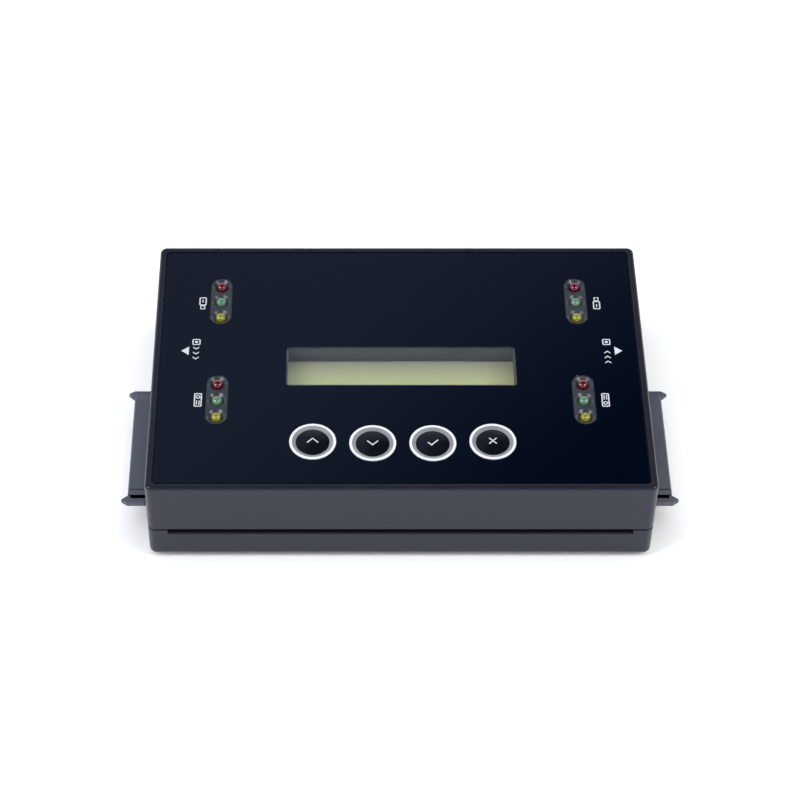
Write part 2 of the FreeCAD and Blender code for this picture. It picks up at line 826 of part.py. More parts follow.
def main_board():
    """The main circuit board, notched at its corners for the closing posts."""
    outline = box(-main_board_width / 2, main_board_width / 2,
                  -main_board_depth / 2, main_board_depth / 2, main_board_z, main_board_top_z)
    notches = []
    for (x, y), (sx, sy) in zip(case_screw_places, corners):
        inner_x = x - sx * (post_radius + board_gap)
        inner_y = y - sy * (post_radius + board_gap)
        notches.append(box(inner_x, sx * half_width, inner_y, sy * half_depth,
                           main_board_z - 1, main_board_top_z + 1))
    return board_with_holes(outline.cut(notches), board_post_places, main_board_z,
                            board_screw_radius + board_hole_gap)


def main_board_screws():
    """The screws that hold the main board down on its posts."""
    length = min(board_screw_length, board_thickness + main_board_z - floor_z + 0.8)
    return group([screw_shape(x, y, main_board_top_z, -1, board_screw_radius, length,
                              board_screw_head_radius, board_screw_head_height)
                  for x, y in board_post_places])


def key_board():
    """The board under the keys and lamps: a front strip with two arms that pass the display."""
    strip = box(-key_board_arm_outer, key_board_arm_outer, -key_board_front,
                -key_board_front + key_board_strip, key_board_z, key_board_top_z)
    arms = [box(sx * key_board_arm_inner, sx * key_board_arm_outer, -key_board_front,
                key_board_back, key_board_z, key_board_top_z) for sx in (-1, 1)]
    outline = strip.fuse(arms).removeSplitter()
    return board_with_holes(outline, key_post_places, key_board_z, board_screw_radius + board_hole_gap)


def link_offsets(pins):
    return [(index - (pins - 1) / 2) * link_pitch for index in range(pins)]


def link_pin_end(board_z):
    """The lower end of a link's pins, always clear of the main board."""
    return max(board_z - link_strip_height - link_pin_reach, main_board_top_z + 0.5)


def link_header(place, pins, board_z):
    """A row of square pins in a plastic strip, hanging under a board."""
    x, y = place
    half_length = pins * link_pitch / 2
    strip = box(x - half_length, x + half_length, y - link_width / 2, y + link_width / 2,
                board_z - link_strip_height, board_z)
    half = link_pin / 2
    low = link_pin_end(board_z)
    row = [box(x + step - half, x + step + half, y - half, y + half,
               low, board_z - link_strip_height) for step in link_offsets(pins)]
    return strip.fuse(row).removeSplitter()


def link_socket(place, pins, board_z):
    """The strip on the main board that a row of pins plugs into, with a square hole for each."""
    x, y = place
    half_length = pins * link_pitch / 2
    top = board_z - link_strip_height
    body = box(x - half_length, x + half_length, y - link_width / 2, y + link_width / 2,
               main_board_top_z, top)
    half = link_pin / 2 + fit_gap
    low = link_pin_end(board_z) - 0.4
    holes = [box(x + step - half, x + step + half, y - half, y + half, low, top + 1)
             for step in link_offsets(pins)]
    return body.cut(holes)


def controller_chips():
    """One bridge chip for each drive socket: a moulded body with short leads on four sides."""
    chips = []
    for sx in (-1, 1):
        x = sx * chip_x
        half = chip_size / 2
        body = box(x - half, x + half, chip_y - half, chip_y + half,
                   main_board_top_z + 0.15, main_board_top_z + chip_height)
        dot = rod(x - half + 1.6, chip_y + half - 1.6, main_board_top_z + chip_height - 0.15,
                  main_board_top_z + chip_height + 1, 0.6)
        reach = half + chip_lead_reach
        legs = box(x - reach, x + reach, chip_y - half + 1, chip_y + half - 1,
                   main_board_top_z, main_board_top_z + 0.3)
        legs_across = box(x - half + 1, x + half - 1, chip_y - reach, chip_y + reach,
                          main_board_top_z, main_board_top_z + 0.3)
        chips.append(body.cut(dot).fuse([legs, legs_across]).removeSplitter())
    return group(chips)


def memory_chip():
    """The program memory between the two bridge chips."""
    body = box(-memory_width / 2, memory_width / 2, chip_y - memory_depth / 2,
               chip_y + memory_depth / 2, main_board_top_z, main_board_top_z + memory_height)
    return body.makeChamfer(0.3, level_edges(body, main_board_top_z + memory_height))


def crystals():
    """Two clock crystals in drawn metal cans."""
    return group([rounded_block(crystal_width, crystal_depth, crystal_depth / 2 - 0.01,
                                main_board_top_z, main_board_top_z + crystal_height,
                                sx * chip_x, chip_y + chip_size) for sx in (-1, 1)])


def capacitors():
    """Smoothing capacitors beside the power inlet: a round can on a square foot."""
    cans = []
    for step in (0, 1, 2):
        x = capacitor_x - step * capacitor_pitch
        y = capacitor_y
        foot = box(x - capacitor_radius, x + capacitor_radius, y - capacitor_radius,
                   y + capacitor_radius, main_board_top_z, main_board_top_z + 1.2)
        can = rod(x, y, main_board_top_z + 1.0, main_board_top_z + capacitor_height,
                  capacitor_radius - 0.15)
        cans.append(foot.fuse(can).removeSplitter())
    return group(cans)


def coils():
    """Two shielded coils of the voltage converters."""
    shapes = []
    for sx in (-1, 1):
        x = sx * coil_x
        y = coil_y
        half = coil_size / 2
        body = box(x - half, x + half, y - half, y + half, main_board_top_z,
                   main_board_top_z + coil_height)
        upright = [e for e in body.Edges if abs(e.BoundBox.ZLength - coil_height) < 1e-6]
        shapes.append(body.makeChamfer(coil_size * 0.18, upright))
    return group(shapes)


# ---------------------------------------------------------------- drive sockets

def drive_slot_layout():
    """The two contact slots along a drive socket: (contacts, centre) for signal and power."""
    signal = (drive_signal_count + 1) * drive_contact_pitch
    power = (drive_power_count + 1) * drive_contact_pitch
    total = signal + power + drive_slot_spacing
    start = drive_socket_y + total / 2
    return [(drive_signal_count, start - signal / 2, signal),
            (drive_power_count, start - signal - drive_slot_spacing - power / 2, power)]


def drive_slot_z():
    """The underside of the contact slots in a drive socket's face."""
    return drive_body_z + drive_body_height * 0.3


def guide_arm(side_y, gap):
    """A guide arm beside the body: a flat bar, joined to it at the face, with a blunt point."""
    outer_y = drive_socket_y + side_y * drive_span / 2
    inner_y = outer_y - side_y * drive_arm_width
    body_y = inner_y - side_y * gap
    face_x = half_width + drive_socket_reach
    tip_x = face_x + drive_arm_tip
    root_x = half_width - drive_body_inside
    point = drive_arm_width * 0.22
    middle_y = (inner_y + outer_y) / 2 - side_y * point
    low_z = drive_arm_top_z - drive_arm_height
    arm = prism([vec(root_x, inner_y, low_z), vec(root_x, outer_y, low_z),
                 vec(face_x, outer_y, low_z), vec(tip_x, middle_y + side_y * point, low_z),
                 vec(tip_x, middle_y - side_y * point, low_z),
                 vec(face_x, inner_y - side_y * drive_arm_gap * 0.8, low_z),
                 vec(face_x - 0.4, body_y - side_y * 0.5, low_z),
                 vec(face_x - drive_arm_bridge, body_y - side_y * 0.5, low_z),
                 vec(face_x - drive_arm_bridge, inner_y, low_z)], vec(0, 0, drive_arm_height))
    side_view = prism([vec(root_x - 1, outer_y + side_y * 3, low_z),
                       vec(face_x + 0.2, outer_y + side_y * 3, low_z),
                       vec(tip_x, outer_y + side_y * 3, low_z + drive_arm_height * 0.38),
                       vec(tip_x, outer_y + side_y * 3, low_z + drive_arm_height * 0.8),
                       vec(face_x + 0.5, outer_y + side_y * 3, drive_arm_top_z),
                       vec(root_x - 1, outer_y + side_y * 3, drive_arm_top_z)],
                      vec(0, -side_y * 12, 0))
    return arm.common(side_view)


def drive_housing():
    """The target side's drive socket: body with two L-shaped slots, foot block and guide arms."""
    face_x = half_width + drive_socket_reach
    root_x = half_width - drive_body_inside
    body = box(root_x, face_x, drive_body_front, drive_body_back, drive_body_z, drive_body_top_z)
    face_edges = [e for e in body.Edges
                  if abs(e.BoundBox.XMin - face_x) < 1e-6 and abs(e.BoundBox.XMax - face_x) < 1e-6]
    body = body.makeChamfer(0.35, face_edges)
    foot = box(root_x, root_x + drive_body_inside - wall - 1.2, drive_socket_y - drive_span / 2,
               drive_socket_y + drive_span / 2, drive_body_z, drive_arm_top_z)
    body = body.fuse([foot, guide_arm(1, 0.0), guide_arm(-1, drive_arm_gap)]).removeSplitter()

    cuts = [box(root_x - 1, face_x + 1, drive_body_front, drive_body_front + drive_land_width,
                drive_body_top_z - drive_land_drop, drive_body_top_z + 1)]
    slot_x = face_x - drive_slot_depth
    low = drive_slot_z()
    for contacts, y, width in drive_slot_layout():
        cuts.append(box(slot_x, face_x + 1, y - width / 2, y + width / 2,
                        low, low + drive_slot_height))
        key_end = y - width / 2
        cuts.append(box(slot_x, face_x + 1, key_end, key_end + drive_key_width,
                        low, low + drive_slot_height + drive_key_rise))
    return body.cut(cuts)


def drive_contacts():
    """The target side's 22 spring contacts: thin strips that bow up from the floor of the slots."""
    face_x = half_width + drive_socket_reach
    deep_x = face_x - drive_slot_depth
    near_x = face_x - 1.0
    low = drive_slot_z()
    strip = 0.15
    bow = 0.45
    width = drive_contact_pitch * 0.45
    strips = []
    for contacts, y, slot in drive_slot_layout():
        for index in range(contacts):
            place = y + (index - (contacts - 1) / 2) * drive_contact_pitch
            middle_x = (deep_x + near_x) / 2
            strips.append(prism([vec(deep_x, place - width / 2, low),
                                 vec(near_x, place - width / 2, low),
                                 vec(near_x, place - width / 2, low + strip),
                                 vec(middle_x, place - width / 2, low + strip + bow),
                                 vec(deep_x, place - width / 2, low + strip)],
                                vec(0, width, 0)))
    return group(strips)


# ---------------------------------------------------------------- stick sockets

def stick_shell():
    """The target side's stick socket shell: a folded metal tube, open at its mouth."""
    mouth_x = half_width - stick_inset
    back_x = mouth_x - stick_shell_length
    half = stick_shell_width / 2
    tube = box(back_x, mouth_x, stick_socket_y - half, stick_socket_y + half,
               stick_shell_z, stick_shell_top_z)
    long_edges = [e for e in tube.Edges if abs(e.BoundBox.XLength - stick_shell_length) < 1e-6]
    tube = tube.makeFillet(stick_shell_radius, long_edges)
    metal = stick_shell_metal
    hollow = box(back_x - 1, mouth_x + 1, stick_socket_y - half + metal,
                 stick_socket_y + half - metal, stick_shell_z + metal, stick_shell_top_z - metal)
    hollow = hollow.makeFillet(max(stick_shell_radius - metal, 0.1),
                               [e for e in hollow.Edges
                                if abs(e.BoundBox.XLength - stick_shell_length - 2) < 1e-6])
    tube = tube.cut(hollow)
    legs = [box(x, x + 1.2, stick_socket_y + side * (half - metal), stick_socket_y + side * half,
                main_board_top_z, stick_shell_z + stick_shell_radius + 0.4)
            for side in (-1, 1) for x in (back_x + 2.0, back_x + 8.0)]
    return tube.fuse(legs).removeSplitter()


def stick_insulator():
    """The target side's insulator: a block that fills the shell's back, and the contact tongue."""
    mouth_x = half_width - stick_inset
    back_x = mouth_x - stick_shell_length
    half = stick_shell_width / 2 - stick_shell_metal
    low = stick_shell_z + stick_shell_metal
    high = stick_shell_top_z - stick_shell_metal
    block = box(back_x, back_x + stick_block_length, stick_socket_y - half, stick_socket_y + half,
                low, high)
    block = block.makeChamfer(0.3, [e for e in block.Edges
                                    if abs(e.BoundBox.XLength - stick_block_length) < 1e-6])
    tongue_top = high - stick_tongue_drop
    tongue = box(back_x, mouth_x - stick_tongue_setback, stick_socket_y - stick_tongue_width / 2,
                 stick_socket_y + stick_tongue_width / 2, tongue_top - stick_tongue_thickness,
                 tongue_top)
    nose = [e for e in tongue.Edges
            if abs(e.BoundBox.XMin - mouth_x + stick_tongue_setback) < 1e-6
            and e.BoundBox.YLength > 1.0]
    tongue = tongue.makeChamfer(0.35, nose)
    return block.fuse(tongue).removeSplitter()


def stick_contacts():
    """The target side's four contacts under the tongue."""
    mouth_x = half_width - stick_inset
    back_x = mouth_x - stick_shell_length
    top = stick_shell_top_z - stick_shell_metal - stick_tongue_drop - stick_tongue_thickness
    strips = []
    for offset in stick_contact_spacings:
        length = 6.6 if abs(offset) < 2 else 7.6
        end_x = back_x + stick_block_length + length
        y = stick_socket_y + offset
        strips.append(box(back_x + stick_block_length, end_x, y - stick_contact_width / 2,
                          y + stick_contact_width / 2, top - stick_contact_thickness, top))
    return group(strips)


# ---------------------------------------------------------------- power inlet

def inlet_housing():
    """The round power inlet: a moulded block with a nose that fills the hole in the back wall."""
    mouth_y = half_depth - inlet_inset
    face_y = half_depth - wall - 0.2
    back_y = face_y - inlet_body_length
    block = box(inlet_x - inlet_body_width / 2, inlet_x + inlet_body_width / 2, back_y, face_y,
                main_board_top_z, main_board_top_z + inlet_body_height)
    top_edges = [e for e in block.Edges
                 if e.BoundBox.YLength > 1 and e.BoundBox.ZMin > main_board_top_z + 1]
    block = block.makeChamfer(1.2, top_edges)
    nose = rod_along_y(inlet_x, inlet_z, face_y - 1, mouth_y, inlet_nose_radius)
    bore = rod_along_y(inlet_x, inlet_z, mouth_y - inlet_bore_depth, mouth_y + 1,
                       inlet_bore_radius)
    return block.fuse(nose).removeSplitter().cut(bore)


def inlet_pin():
    """The inlet's centre pin, with a round end."""
    mouth_y = half_depth - inlet_inset
    start = mouth_y - inlet_bore_depth
    length = inlet_bore_depth - 0.8
    pin = rod_along_y(inlet_x, inlet_z, start, start + length, inlet_pin_radius)
    end = [e for e in pin.Edges if abs(e.BoundBox.YMin - start - length) < 1e-6]
    return pin.makeFillet(inlet_pin_radius * 0.6, end)


def inlet_spring():
    """The leaf contact along the side of the inlet's bore."""
    mouth_y = half_depth - inlet_inset
    deep_y = mouth_y - inlet_bore_depth
    low = inlet_z - inlet_bore_radius + 0.05
    return prism([vec(inlet_x - 0.9, deep_y, low + 0.25), vec(inlet_x - 0.9, mouth_y - 2.0, low + 0.25),
                  vec(inlet_x - 0.9, mouth_y - 3.6, low + 0.7), vec(inlet_x - 0.9, deep_y, low + 0.5)],
                 vec(1.8, 0, 0))


# ---------------------------------------------------------------- power switch

def switch_cut():
    """The rectangular hole that the power switch snaps into."""
    half_w = switch_body_width / 2 + fit_gap
    half_h = switch_body_height / 2 + fit_gap
    return box(switch_x - half_w, switch_x + half_w, half_depth - wall - 1, half_depth + 1,
               switch_z - half_h, switch_z + half_h)


def switch_housing():
    """The switch body with its bezel, open at the back for the rocker, and two snap wedges."""
    outer_y = half_depth + switch_bezel_proud
    bezel = box(switch_x - switch_bezel_width / 2, switch_x + switch_bezel_width / 2,
                half_depth, outer_y, switch_z - switch_bezel_height / 2,
                switch_z + switch_bezel_height / 2)
    bezel = bezel.makeFillet(0.9, [e for e in bezel.Edges
                                   if abs(e.BoundBox.YLength - switch_bezel_proud) < 1e-6])
    rim = [e for e in bezel.Edges if abs(e.BoundBox.YMin - outer_y) < 1e-6]
    bezel = bezel.makeChamfer(0.3, rim)
    deep_y = half_depth - switch_body_length
    body = box(switch_x - switch_body_width / 2, switch_x + switch_body_width / 2, deep_y,
               half_depth + 0.2, switch_z - switch_body_height / 2,
               switch_z + switch_body_height / 2)
    wedges = []
    for side in (-1, 1):
        x = switch_x + side * switch_body_width / 2
        y = half_depth - wall - 0.1
        wedges.append(prism([vec(x, y, switch_z - 1.5), vec(x + side * 0.7, y, switch_z - 1.5),
                             vec(x, y - 3.0, switch_z - 1.5)], vec(0, 0, 3.0)))
    housing = bezel.fuse([body] + wedges).removeSplitter()
    cavity = box(switch_x - switch_opening_width / 2, switch_x + switch_opening_width / 2,
                 deep_y + 1.2, outer_y + 1, switch_z - switch_opening_height / 2,
                 switch_z + switch_opening_height / 2)
    trunnions = Part.makeCylinder(rocker_trunnion_radius + fit_gap / 2,
                                  switch_opening_height + 1.4,
                                  vec(switch_x, rocker_pivot_y(),
                                      switch_z - switch_opening_height / 2 - 0.7))
    return housing.cut([cavity, trunnions])


def rocker_pivot_y():
    """Where the rocker's pivot lies, counted from front to back."""
    return half_depth + switch_bezel_proud - rocker_pivot_depth


def switch_rocker():
    """The rocker, at rest with its source side pressed in.

    Level, its face is a shallow valley of two wings that each rise by the tilt; tipped by the
    tilt, one wing lies flush with the bezel.  The wings are as long as the opening allows when
    their ends swing through its walls' plane.
    """
    pivot_y = rocker_pivot_y()
    tilt = math.radians(rocker_tilt)
    valley = rocker_pivot_depth - rocker_valley
    reach = (switch_opening_width / 2 - rocker_gap - valley * math.sin(tilt)) * math.cos(tilt)
    half_h = switch_opening_height / 2 - rocker_gap
    low_z = switch_z - half_h
    right = [(0, valley), (reach, valley + reach * math.tan(tilt)),
             (reach * 0.94, -0.6), (reach * 0.4, -1.9)]
    outline = right + [(-u, v) for u, v in reversed(right[1:])]
    rocker = prism([vec(switch_x + u, pivot_y + v, low_z) for u, v in outline],
                   vec(0, 0, 2 * half_h))
    hub = Part.makeCylinder(rocker_trunnion_radius, switch_opening_height + 1.2,
                            vec(switch_x, pivot_y, switch_z - switch_opening_height / 2 - 0.6))
    rocker = rocker.fuse(hub).removeSplitter()
    rocker.rotate(vec(switch_x, pivot_y, switch_z), vec(0, 0, 1), rocker_tilt)
    return rocker


def switch_terminals():
    """The two flat terminals at the switch's inner end."""
    deep_y = half_depth - switch_body_length
    return group([box(switch_x + side * terminal_spacing - terminal_thickness / 2,
                      switch_x + side * terminal_spacing + terminal_thickness / 2,
                      deep_y - terminal_length, deep_y, switch_z - terminal_width / 2,
                      switch_z + terminal_width / 2) for side in (-1, 1)])


def switch_wires():
    """Two insulated wires from the terminals down to the main board."""
    wires = []
    for side in (-1, 1):
        x = switch_x + side * terminal_spacing
        start = vec(x, half_depth - switch_body_length - terminal_length, switch_z)
        bend_start = start + vec(0, -1.0, 0)
        bend_middle = bend_start + vec(0, -wire_bend * math.sin(math.radians(45)),
                                       -wire_bend * (1 - math.cos(math.radians(45))))
        bend_end = bend_start + vec(0, -wire_bend, -wire_bend)
        finish = vec(x, bend_end.y, main_board_top_z)
        path = Part.Wire([Part.makeLine(start, bend_start),
                          Part.Arc(bend_start, bend_middle, bend_end).toShape(),
                          Part.makeLine(bend_end, finish)])
        ring = Part.Wire(Part.makeCircle(wire_radius, start, vec(0, -1, 0)))
        wires.append(path.makePipeShell([ring], True, False))
    return group(wires)


# ---------------------------------------------------------------- the assembly

def both_sides(name, shape):
    """A target side piece, and its mirror image for the source side."""
    return {"target_" + name: shape, "source_" + name: mirrored(shape)}


def with_mirror(shape):
    """A group of small target side pieces together with their mirror images."""
    return group(shape.Solids + mirrored(shape).Solids)


def assembly():
    """Every node of the model, by name."""
    nodes = {
        "lower_shell": lower_shell(),
        "upper_shell": upper_shell(),
        "rubber_feet": feet(),
        "case_screws": case_screws(),
        "face_panel": face_panel(),
        "window_lens": window_lens(),
        "display_frame": display_frame(),
        "display_glass": display_glass(),
        "display_backlight": display_backlight(),
        "display_board": display_board(),
        "display_screws": screws_up(display_post_places, display_board_z),
        "display_link_header": link_header(display_link_place, display_link_pin_count, display_board_z),
        "display_link_socket": link_socket(display_link_place, display_link_pin_count, display_board_z),
        "key_board": key_board(),
        "key_board_screws": screws_up(key_post_places, key_board_z),
        "key_link_header": link_header(key_link_place, key_link_pin_count, key_board_z),
        "key_link_socket": link_socket(key_link_place, key_link_pin_count, key_board_z),
        "red_lamps": lamps(1),
        "green_lamps": lamps(0),
        "yellow_lamps": lamps(-1),
        "lamp_holders": lamp_holders(),
        "main_board": main_board(),
        "main_board_screws": main_board_screws(),
        "controller_chips": controller_chips(),
        "memory_chip": memory_chip(),
        "crystals": crystals(),
        "capacitors": capacitors(),
        "coils": coils(),
        "drive_contacts": with_mirror(drive_contacts()),
        "stick_contacts": with_mirror(stick_contacts()),
        "inlet_housing": inlet_housing(),
        "inlet_pin": inlet_pin(),
        "inlet_spring": inlet_spring(),
        "switch_housing": switch_housing(),
        "switch_rocker": switch_rocker(),
        "switch_terminals": switch_terminals(),
        "switch_wires": switch_wires(),
    }
    for index, place in enumerate(key_places(), start=1):
        nodes[f"key_ring_{index}"] = key_ring(place)
        nodes[f"key_cap_{index}"] = key_cap(place)
        nodes[f"key_switch_{index}"] = key_switch(place)
        nodes[f"key_plunger_{index}"] = key_plunger(place)
    nodes.update(both_sides("drive_housing", drive_housing()))
    nodes.update(both_sides("stick_shell", stick_shell()))
    nodes.update(both_sides("stick_insulator", stick_insulator()))
    return nodes


os.makedirs("parts", exist_ok=True)
for node, shape in assembly().items():
    shape.exportStep(os.path.join("parts", node + ".step"))
    box_size = shape.BoundBox
    print(f"{node}: {len(shape.Solids)} solids, valid {shape.isValid()}, "
          f"{box_size.XLength:.2f} x {box_size.YLength:.2f} x {box_size.ZLength:.2f}")
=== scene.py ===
import math

import bmesh
import bpy
import numpy as np
from bpy.props import FloatProperty, FloatVectorProperty, PointerProperty
from mathutils import Matrix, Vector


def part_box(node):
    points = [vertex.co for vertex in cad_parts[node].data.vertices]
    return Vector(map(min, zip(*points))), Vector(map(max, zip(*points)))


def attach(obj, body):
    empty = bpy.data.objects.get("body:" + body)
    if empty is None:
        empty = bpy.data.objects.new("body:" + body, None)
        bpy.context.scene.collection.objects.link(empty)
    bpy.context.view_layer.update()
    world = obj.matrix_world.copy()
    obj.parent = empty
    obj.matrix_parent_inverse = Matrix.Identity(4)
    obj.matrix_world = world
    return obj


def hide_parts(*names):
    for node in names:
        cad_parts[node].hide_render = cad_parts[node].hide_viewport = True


bl_info = {
    "name": "Drive duplicator looks",
    "version": (1, 0, 0),
    "blender": (4, 5, 0),
    "location": "3D View > Sidebar > Duplicator",
    "description": "Dresses the packed drive duplicator and sets its stage",
    "category": "Object",
}

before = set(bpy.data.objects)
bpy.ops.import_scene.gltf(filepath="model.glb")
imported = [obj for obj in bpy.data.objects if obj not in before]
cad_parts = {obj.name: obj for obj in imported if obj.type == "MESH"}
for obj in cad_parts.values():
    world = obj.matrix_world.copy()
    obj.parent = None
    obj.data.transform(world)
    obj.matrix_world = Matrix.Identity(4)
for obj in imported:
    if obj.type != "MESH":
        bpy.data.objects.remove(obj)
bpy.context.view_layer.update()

MM = 0.001
HOUSING = "housing"

# Panel and window.
PANEL_RADIUS = 0.6 * MM
WINDOW_RADIUS = 1.0 * MM
LENS_LAP = 1.2 * MM
GASKET_THICKNESS = 0.28 * MM

# Key rings and caps.
KEYS = range(1, 1 + sum(name.startswith("key_cap_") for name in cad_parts))
BAND_WIDTH = 0.74 * MM
BARREL_INSET = 0.9 * MM
RING_WIDTH = 1.8 * MM
FACE_RADIUS = 4.25 * MM
FACE_RISE = 0.55 * MM
FACE_DROP = 0.015 * MM
FLANGE_WIDTH = 0.7 * MM
FLANGE_HEIGHT = 0.6 * MM

# Lamps and the openings round them.
LAMP_COLOURS = ("red", "green", "yellow")
LAMP_GROUPS = [(side, row) for side in (-1, 1) for row in (0, 1)]
LAMP_PITCH = 6.1 * MM
LAMP_RADIUS = 1.5 * MM
LEAD_LENGTH = 2.6 * MM
LEAD_PITCH = 1.27 * MM
SLOT_RADIUS = 3.05 * MM
CUP_RADIUS = 2.98 * MM
CUP_FOOT = 1.62 * MM
TRAY_HEIGHT = 0.3 * MM

# Printed marks, by side, in millimetres: from the panel's edge to the arrow and to the way mark,
# and from the middle of the lamps to their pictograms.
MARK_PLACES = {-1: (6.7, 9.8, 5.2), 1: (5.1, 8.3, 5.9)}
ARROWS_BEHIND_MIDDLE = 4.8 * MM

# Stage, in metres and degrees; the ceiling and the horizon in parts of a unit direction.
SOFTBOX_PLACE = (0.7, -0.35, 0.8)
TOP_LIGHT_PLACE = (0, 0.15, 1.15)
TOP_LIGHT_SIZE = 1.4
FLOOR_REACH = 12.0
FLOOR_FADE = (0.2, 0.6)
FLOOR_GLOW = 0.12
CEILING_SLANT = (1.0, 0.0, 1.6)
CEILING_EDGE = (1.13, 1.32)
HORIZON_FADE = (0.12, 0.42)
CAMERA_PLACE = (-0.01527, -0.4757, 0.5409)
CAMERA_TILT = 42.07
CAMERA_SHIFT = 0.069


# ---- colours, nodes, materials

SLOW_CHANGE_MM = 9.0
UNEVEN_GLOSS = 0.05


def linear(hex_colour):
    """sRGB hex to linear light: each channel c becomes c / 12.92 or ((c + 0.055) / 1.055) ** 2.4."""
    channels = [int(hex_colour[i:i + 2], 16) / 255 for i in (1, 3, 5)]
    return tuple(c / 12.92 if c <= 0.04045 else ((c + 0.055) / 1.055) ** 2.4 for c in channels)


def rgba(colour):
    """A colour of three channels with a full alpha."""
    return (*tuple(colour)[:3], 1.0)


def add(tree, kind, inputs=None, **settings):
    """Adds a shader node; inputs maps socket names or numbers to values or to sockets to link."""
    made = tree.nodes.new("ShaderNode" + kind)
    for name, value in settings.items():
        setattr(made, name, value)
    for key, value in (inputs or {}).items():
        socket = made.inputs[key]
        if isinstance(value, bpy.types.NodeSocket):
            tree.links.new(value, socket)
        else:
            socket.default_value = value
    return made


def emptied(owner):
    """The node tree of a material or a world, with nothing in it."""
    owner.use_nodes = True
    owner.node_tree.nodes.clear()
    return owner.node_tree


def new_material(name):
    """A material without nodes; returns (material, tree)."""
    material = bpy.data.materials.new(name)
    return material, emptied(material)


def shine(tree, shader):
    """Ends a material's tree with one principled shader; returns its socket."""
    bsdf = add(tree, "BsdfPrincipled", shader)
    add(tree, "OutputMaterial", {"Surface": bsdf.outputs[0]})
    return bsdf.outputs[0]


def grain(tree, size_mm, detail=2.0):
    """Noise over Object coordinates whose grains are about size_mm across."""
    place = add(tree, "TexCoord")
    return add(tree, "TexNoise", {"Vector": place.outputs["Object"], "Detail": detail,
                                  "Scale": 1 / (size_mm * MM)}).outputs[0]


def spread(tree, source, low, high):
    """Maps a value of 0.3 to 0.7, where noise mostly lies, to low to high."""
    return add(tree, "MapRange", {"Value": source, "From Min": 0.3, "From Max": 0.7,
                                  "To Min": low, "To Max": high}).outputs["Result"]


def relief(tree, source, depth_mm, edge_mm=0.0):
    """A bump of depth_mm from a value, over edges that look rounded by edge_mm."""
    inputs = {"Height": source, "Distance": depth_mm * MM}
    if edge_mm:
        inputs["Normal"] = add(tree, "Bevel", {"Radius": edge_mm * MM}, samples=4).outputs[0]
    return add(tree, "Bump", inputs).outputs[0]


def tinted(tree, source, colour, change):
    """A colour made darker and lighter by a share that follows a value."""
    dark = [c * (1 - change) for c in colour[:3]]
    light = [min(1.0, c * (1 + change)) for c in colour[:3]]
    return add(tree, "Mix", {"Factor": source, "A": rgba(dark), "B": rgba(light)},
               data_type="RGBA").outputs["Result"]


def finish_of(name, colour, roughness, grain_mm=0.4, depth_mm=0.004, change=0.08, edge_mm=0.0,
              painted_shade_mm=0.0, **shader):
    """A plain solid finish: grain in its relief, slow changes in tone and gloss, painted shade in
    hollows.
    """
    material, tree = new_material(name)
    slow = grain(tree, SLOW_CHANGE_MM, detail=3.0)
    tone = tinted(tree, spread(tree, slow, 0, 1), colour, change)
    # Painted shade: narrow hollows turn black and lose their gloss.
    if painted_shade_mm:
        tone, shader["Specular IOR Level"] = painted_hollow_shade(tree, tone, painted_shade_mm)
    gloss = spread(tree, slow, roughness - UNEVEN_GLOSS, roughness + UNEVEN_GLOSS)
    bumps = relief(tree, grain(tree, grain_mm), depth_mm, edge_mm)
    shine(tree, {"Base Color": tone, "Roughness": gloss, "Normal": bumps, **shader})
    return material


def painted_hollow_shade(tree, tone, reach_mm):
    """Painted shade: a colour that turns black in slots narrower than about twice reach_mm, and its
    gloss.
    """
    sky = add(tree, "AmbientOcclusion", {"Distance": reach_mm * MM}, samples=8).outputs["AO"]
    share = add(tree, "MapRange", {"Value": sky, "From Min": 0.66, "From Max": 0.95},
                interpolation_type="SMOOTHSTEP").outputs["Result"]
    gloss = add(tree, "Math", {0: share, 1: 0.5}, operation="MULTIPLY")
    shade = add(tree, "Mix", {"Factor": share, "A": (0, 0, 0, 1), "B": tone}, data_type="RGBA")
    return shade.outputs["Result"], gloss.outputs[0]


def dress(material, *nodes):
    """Gives CAD nodes a finish."""
    for name in nodes:
        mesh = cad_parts[name].data
        mesh.materials.clear()
        mesh.materials.append(material)


# ---- surfaces

def grid_faces(rows, columns, close_rows=False, close_columns=False):
    """Quads (i, j), (i, j+1), (i+1, j+1), (i+1, j) of a grid of points, wrapped where closed."""
    i = np.arange(rows if close_rows else rows - 1)[:, None]
    j = np.arange(columns if close_columns else columns - 1)[None, :]
    up, over = (i + 1) % rows, (j + 1) % columns
    corners = (i * columns + j, i * columns + over, up * columns + over, up * columns + j)
    return np.stack(np.broadcast_arrays(*corners), -1).reshape(-1, 4)


def turned(profile, place, steps=96, closed=False):
    """Surface of revolution about an upright axis: (x + r(t) cos a, y + r(t) sin a, z(t))."""
    r, z = np.asarray(profile, float).T[:, :, None]
    a = np.linspace(0, 2 * math.pi, steps, endpoint=False)[None, :]
    points = np.stack([place[0] + r * np.cos(a), place[1] + r * np.sin(a), z + 0 * a], -1)
    return points.reshape(-1, 3), grid_faces(len(r), steps, closed, True)


def softened(points, radius, steps=6, closed=False):
    """A line whose corners B become arcs (1-t)^2 A + 2t(1-t) B + t^2 C between A and C on its sides."""
    points = np.asarray(points, float)
    before = np.roll(points, 1, 0) - points
    after = np.roll(points, -1, 0) - points
    long_before = np.linalg.norm(before, axis=1, keepdims=True)
    long_after = np.linalg.norm(after, axis=1, keepdims=True)
    cut = np.minimum(np.minimum(long_before, long_after) * 0.48,
                     np.broadcast_to(np.asarray(radius, float).reshape(-1, 1), (len(points), 1)))
    start = points + before / np.maximum(long_before, 1e-12) * cut
    end = points + after / np.maximum(long_after, 1e-12) * cut
    t = np.linspace(0, 1, steps)[None, :, None]
    curve = ((1 - t) ** 2 * start[:, None] + 2 * t * (1 - t) * points[:, None]
             + t ** 2 * end[:, None])
    if closed:
        return curve.reshape(-1, 2)
    return np.concatenate([points[:1], curve[1:-1].reshape(-1, 2), points[-1:]])


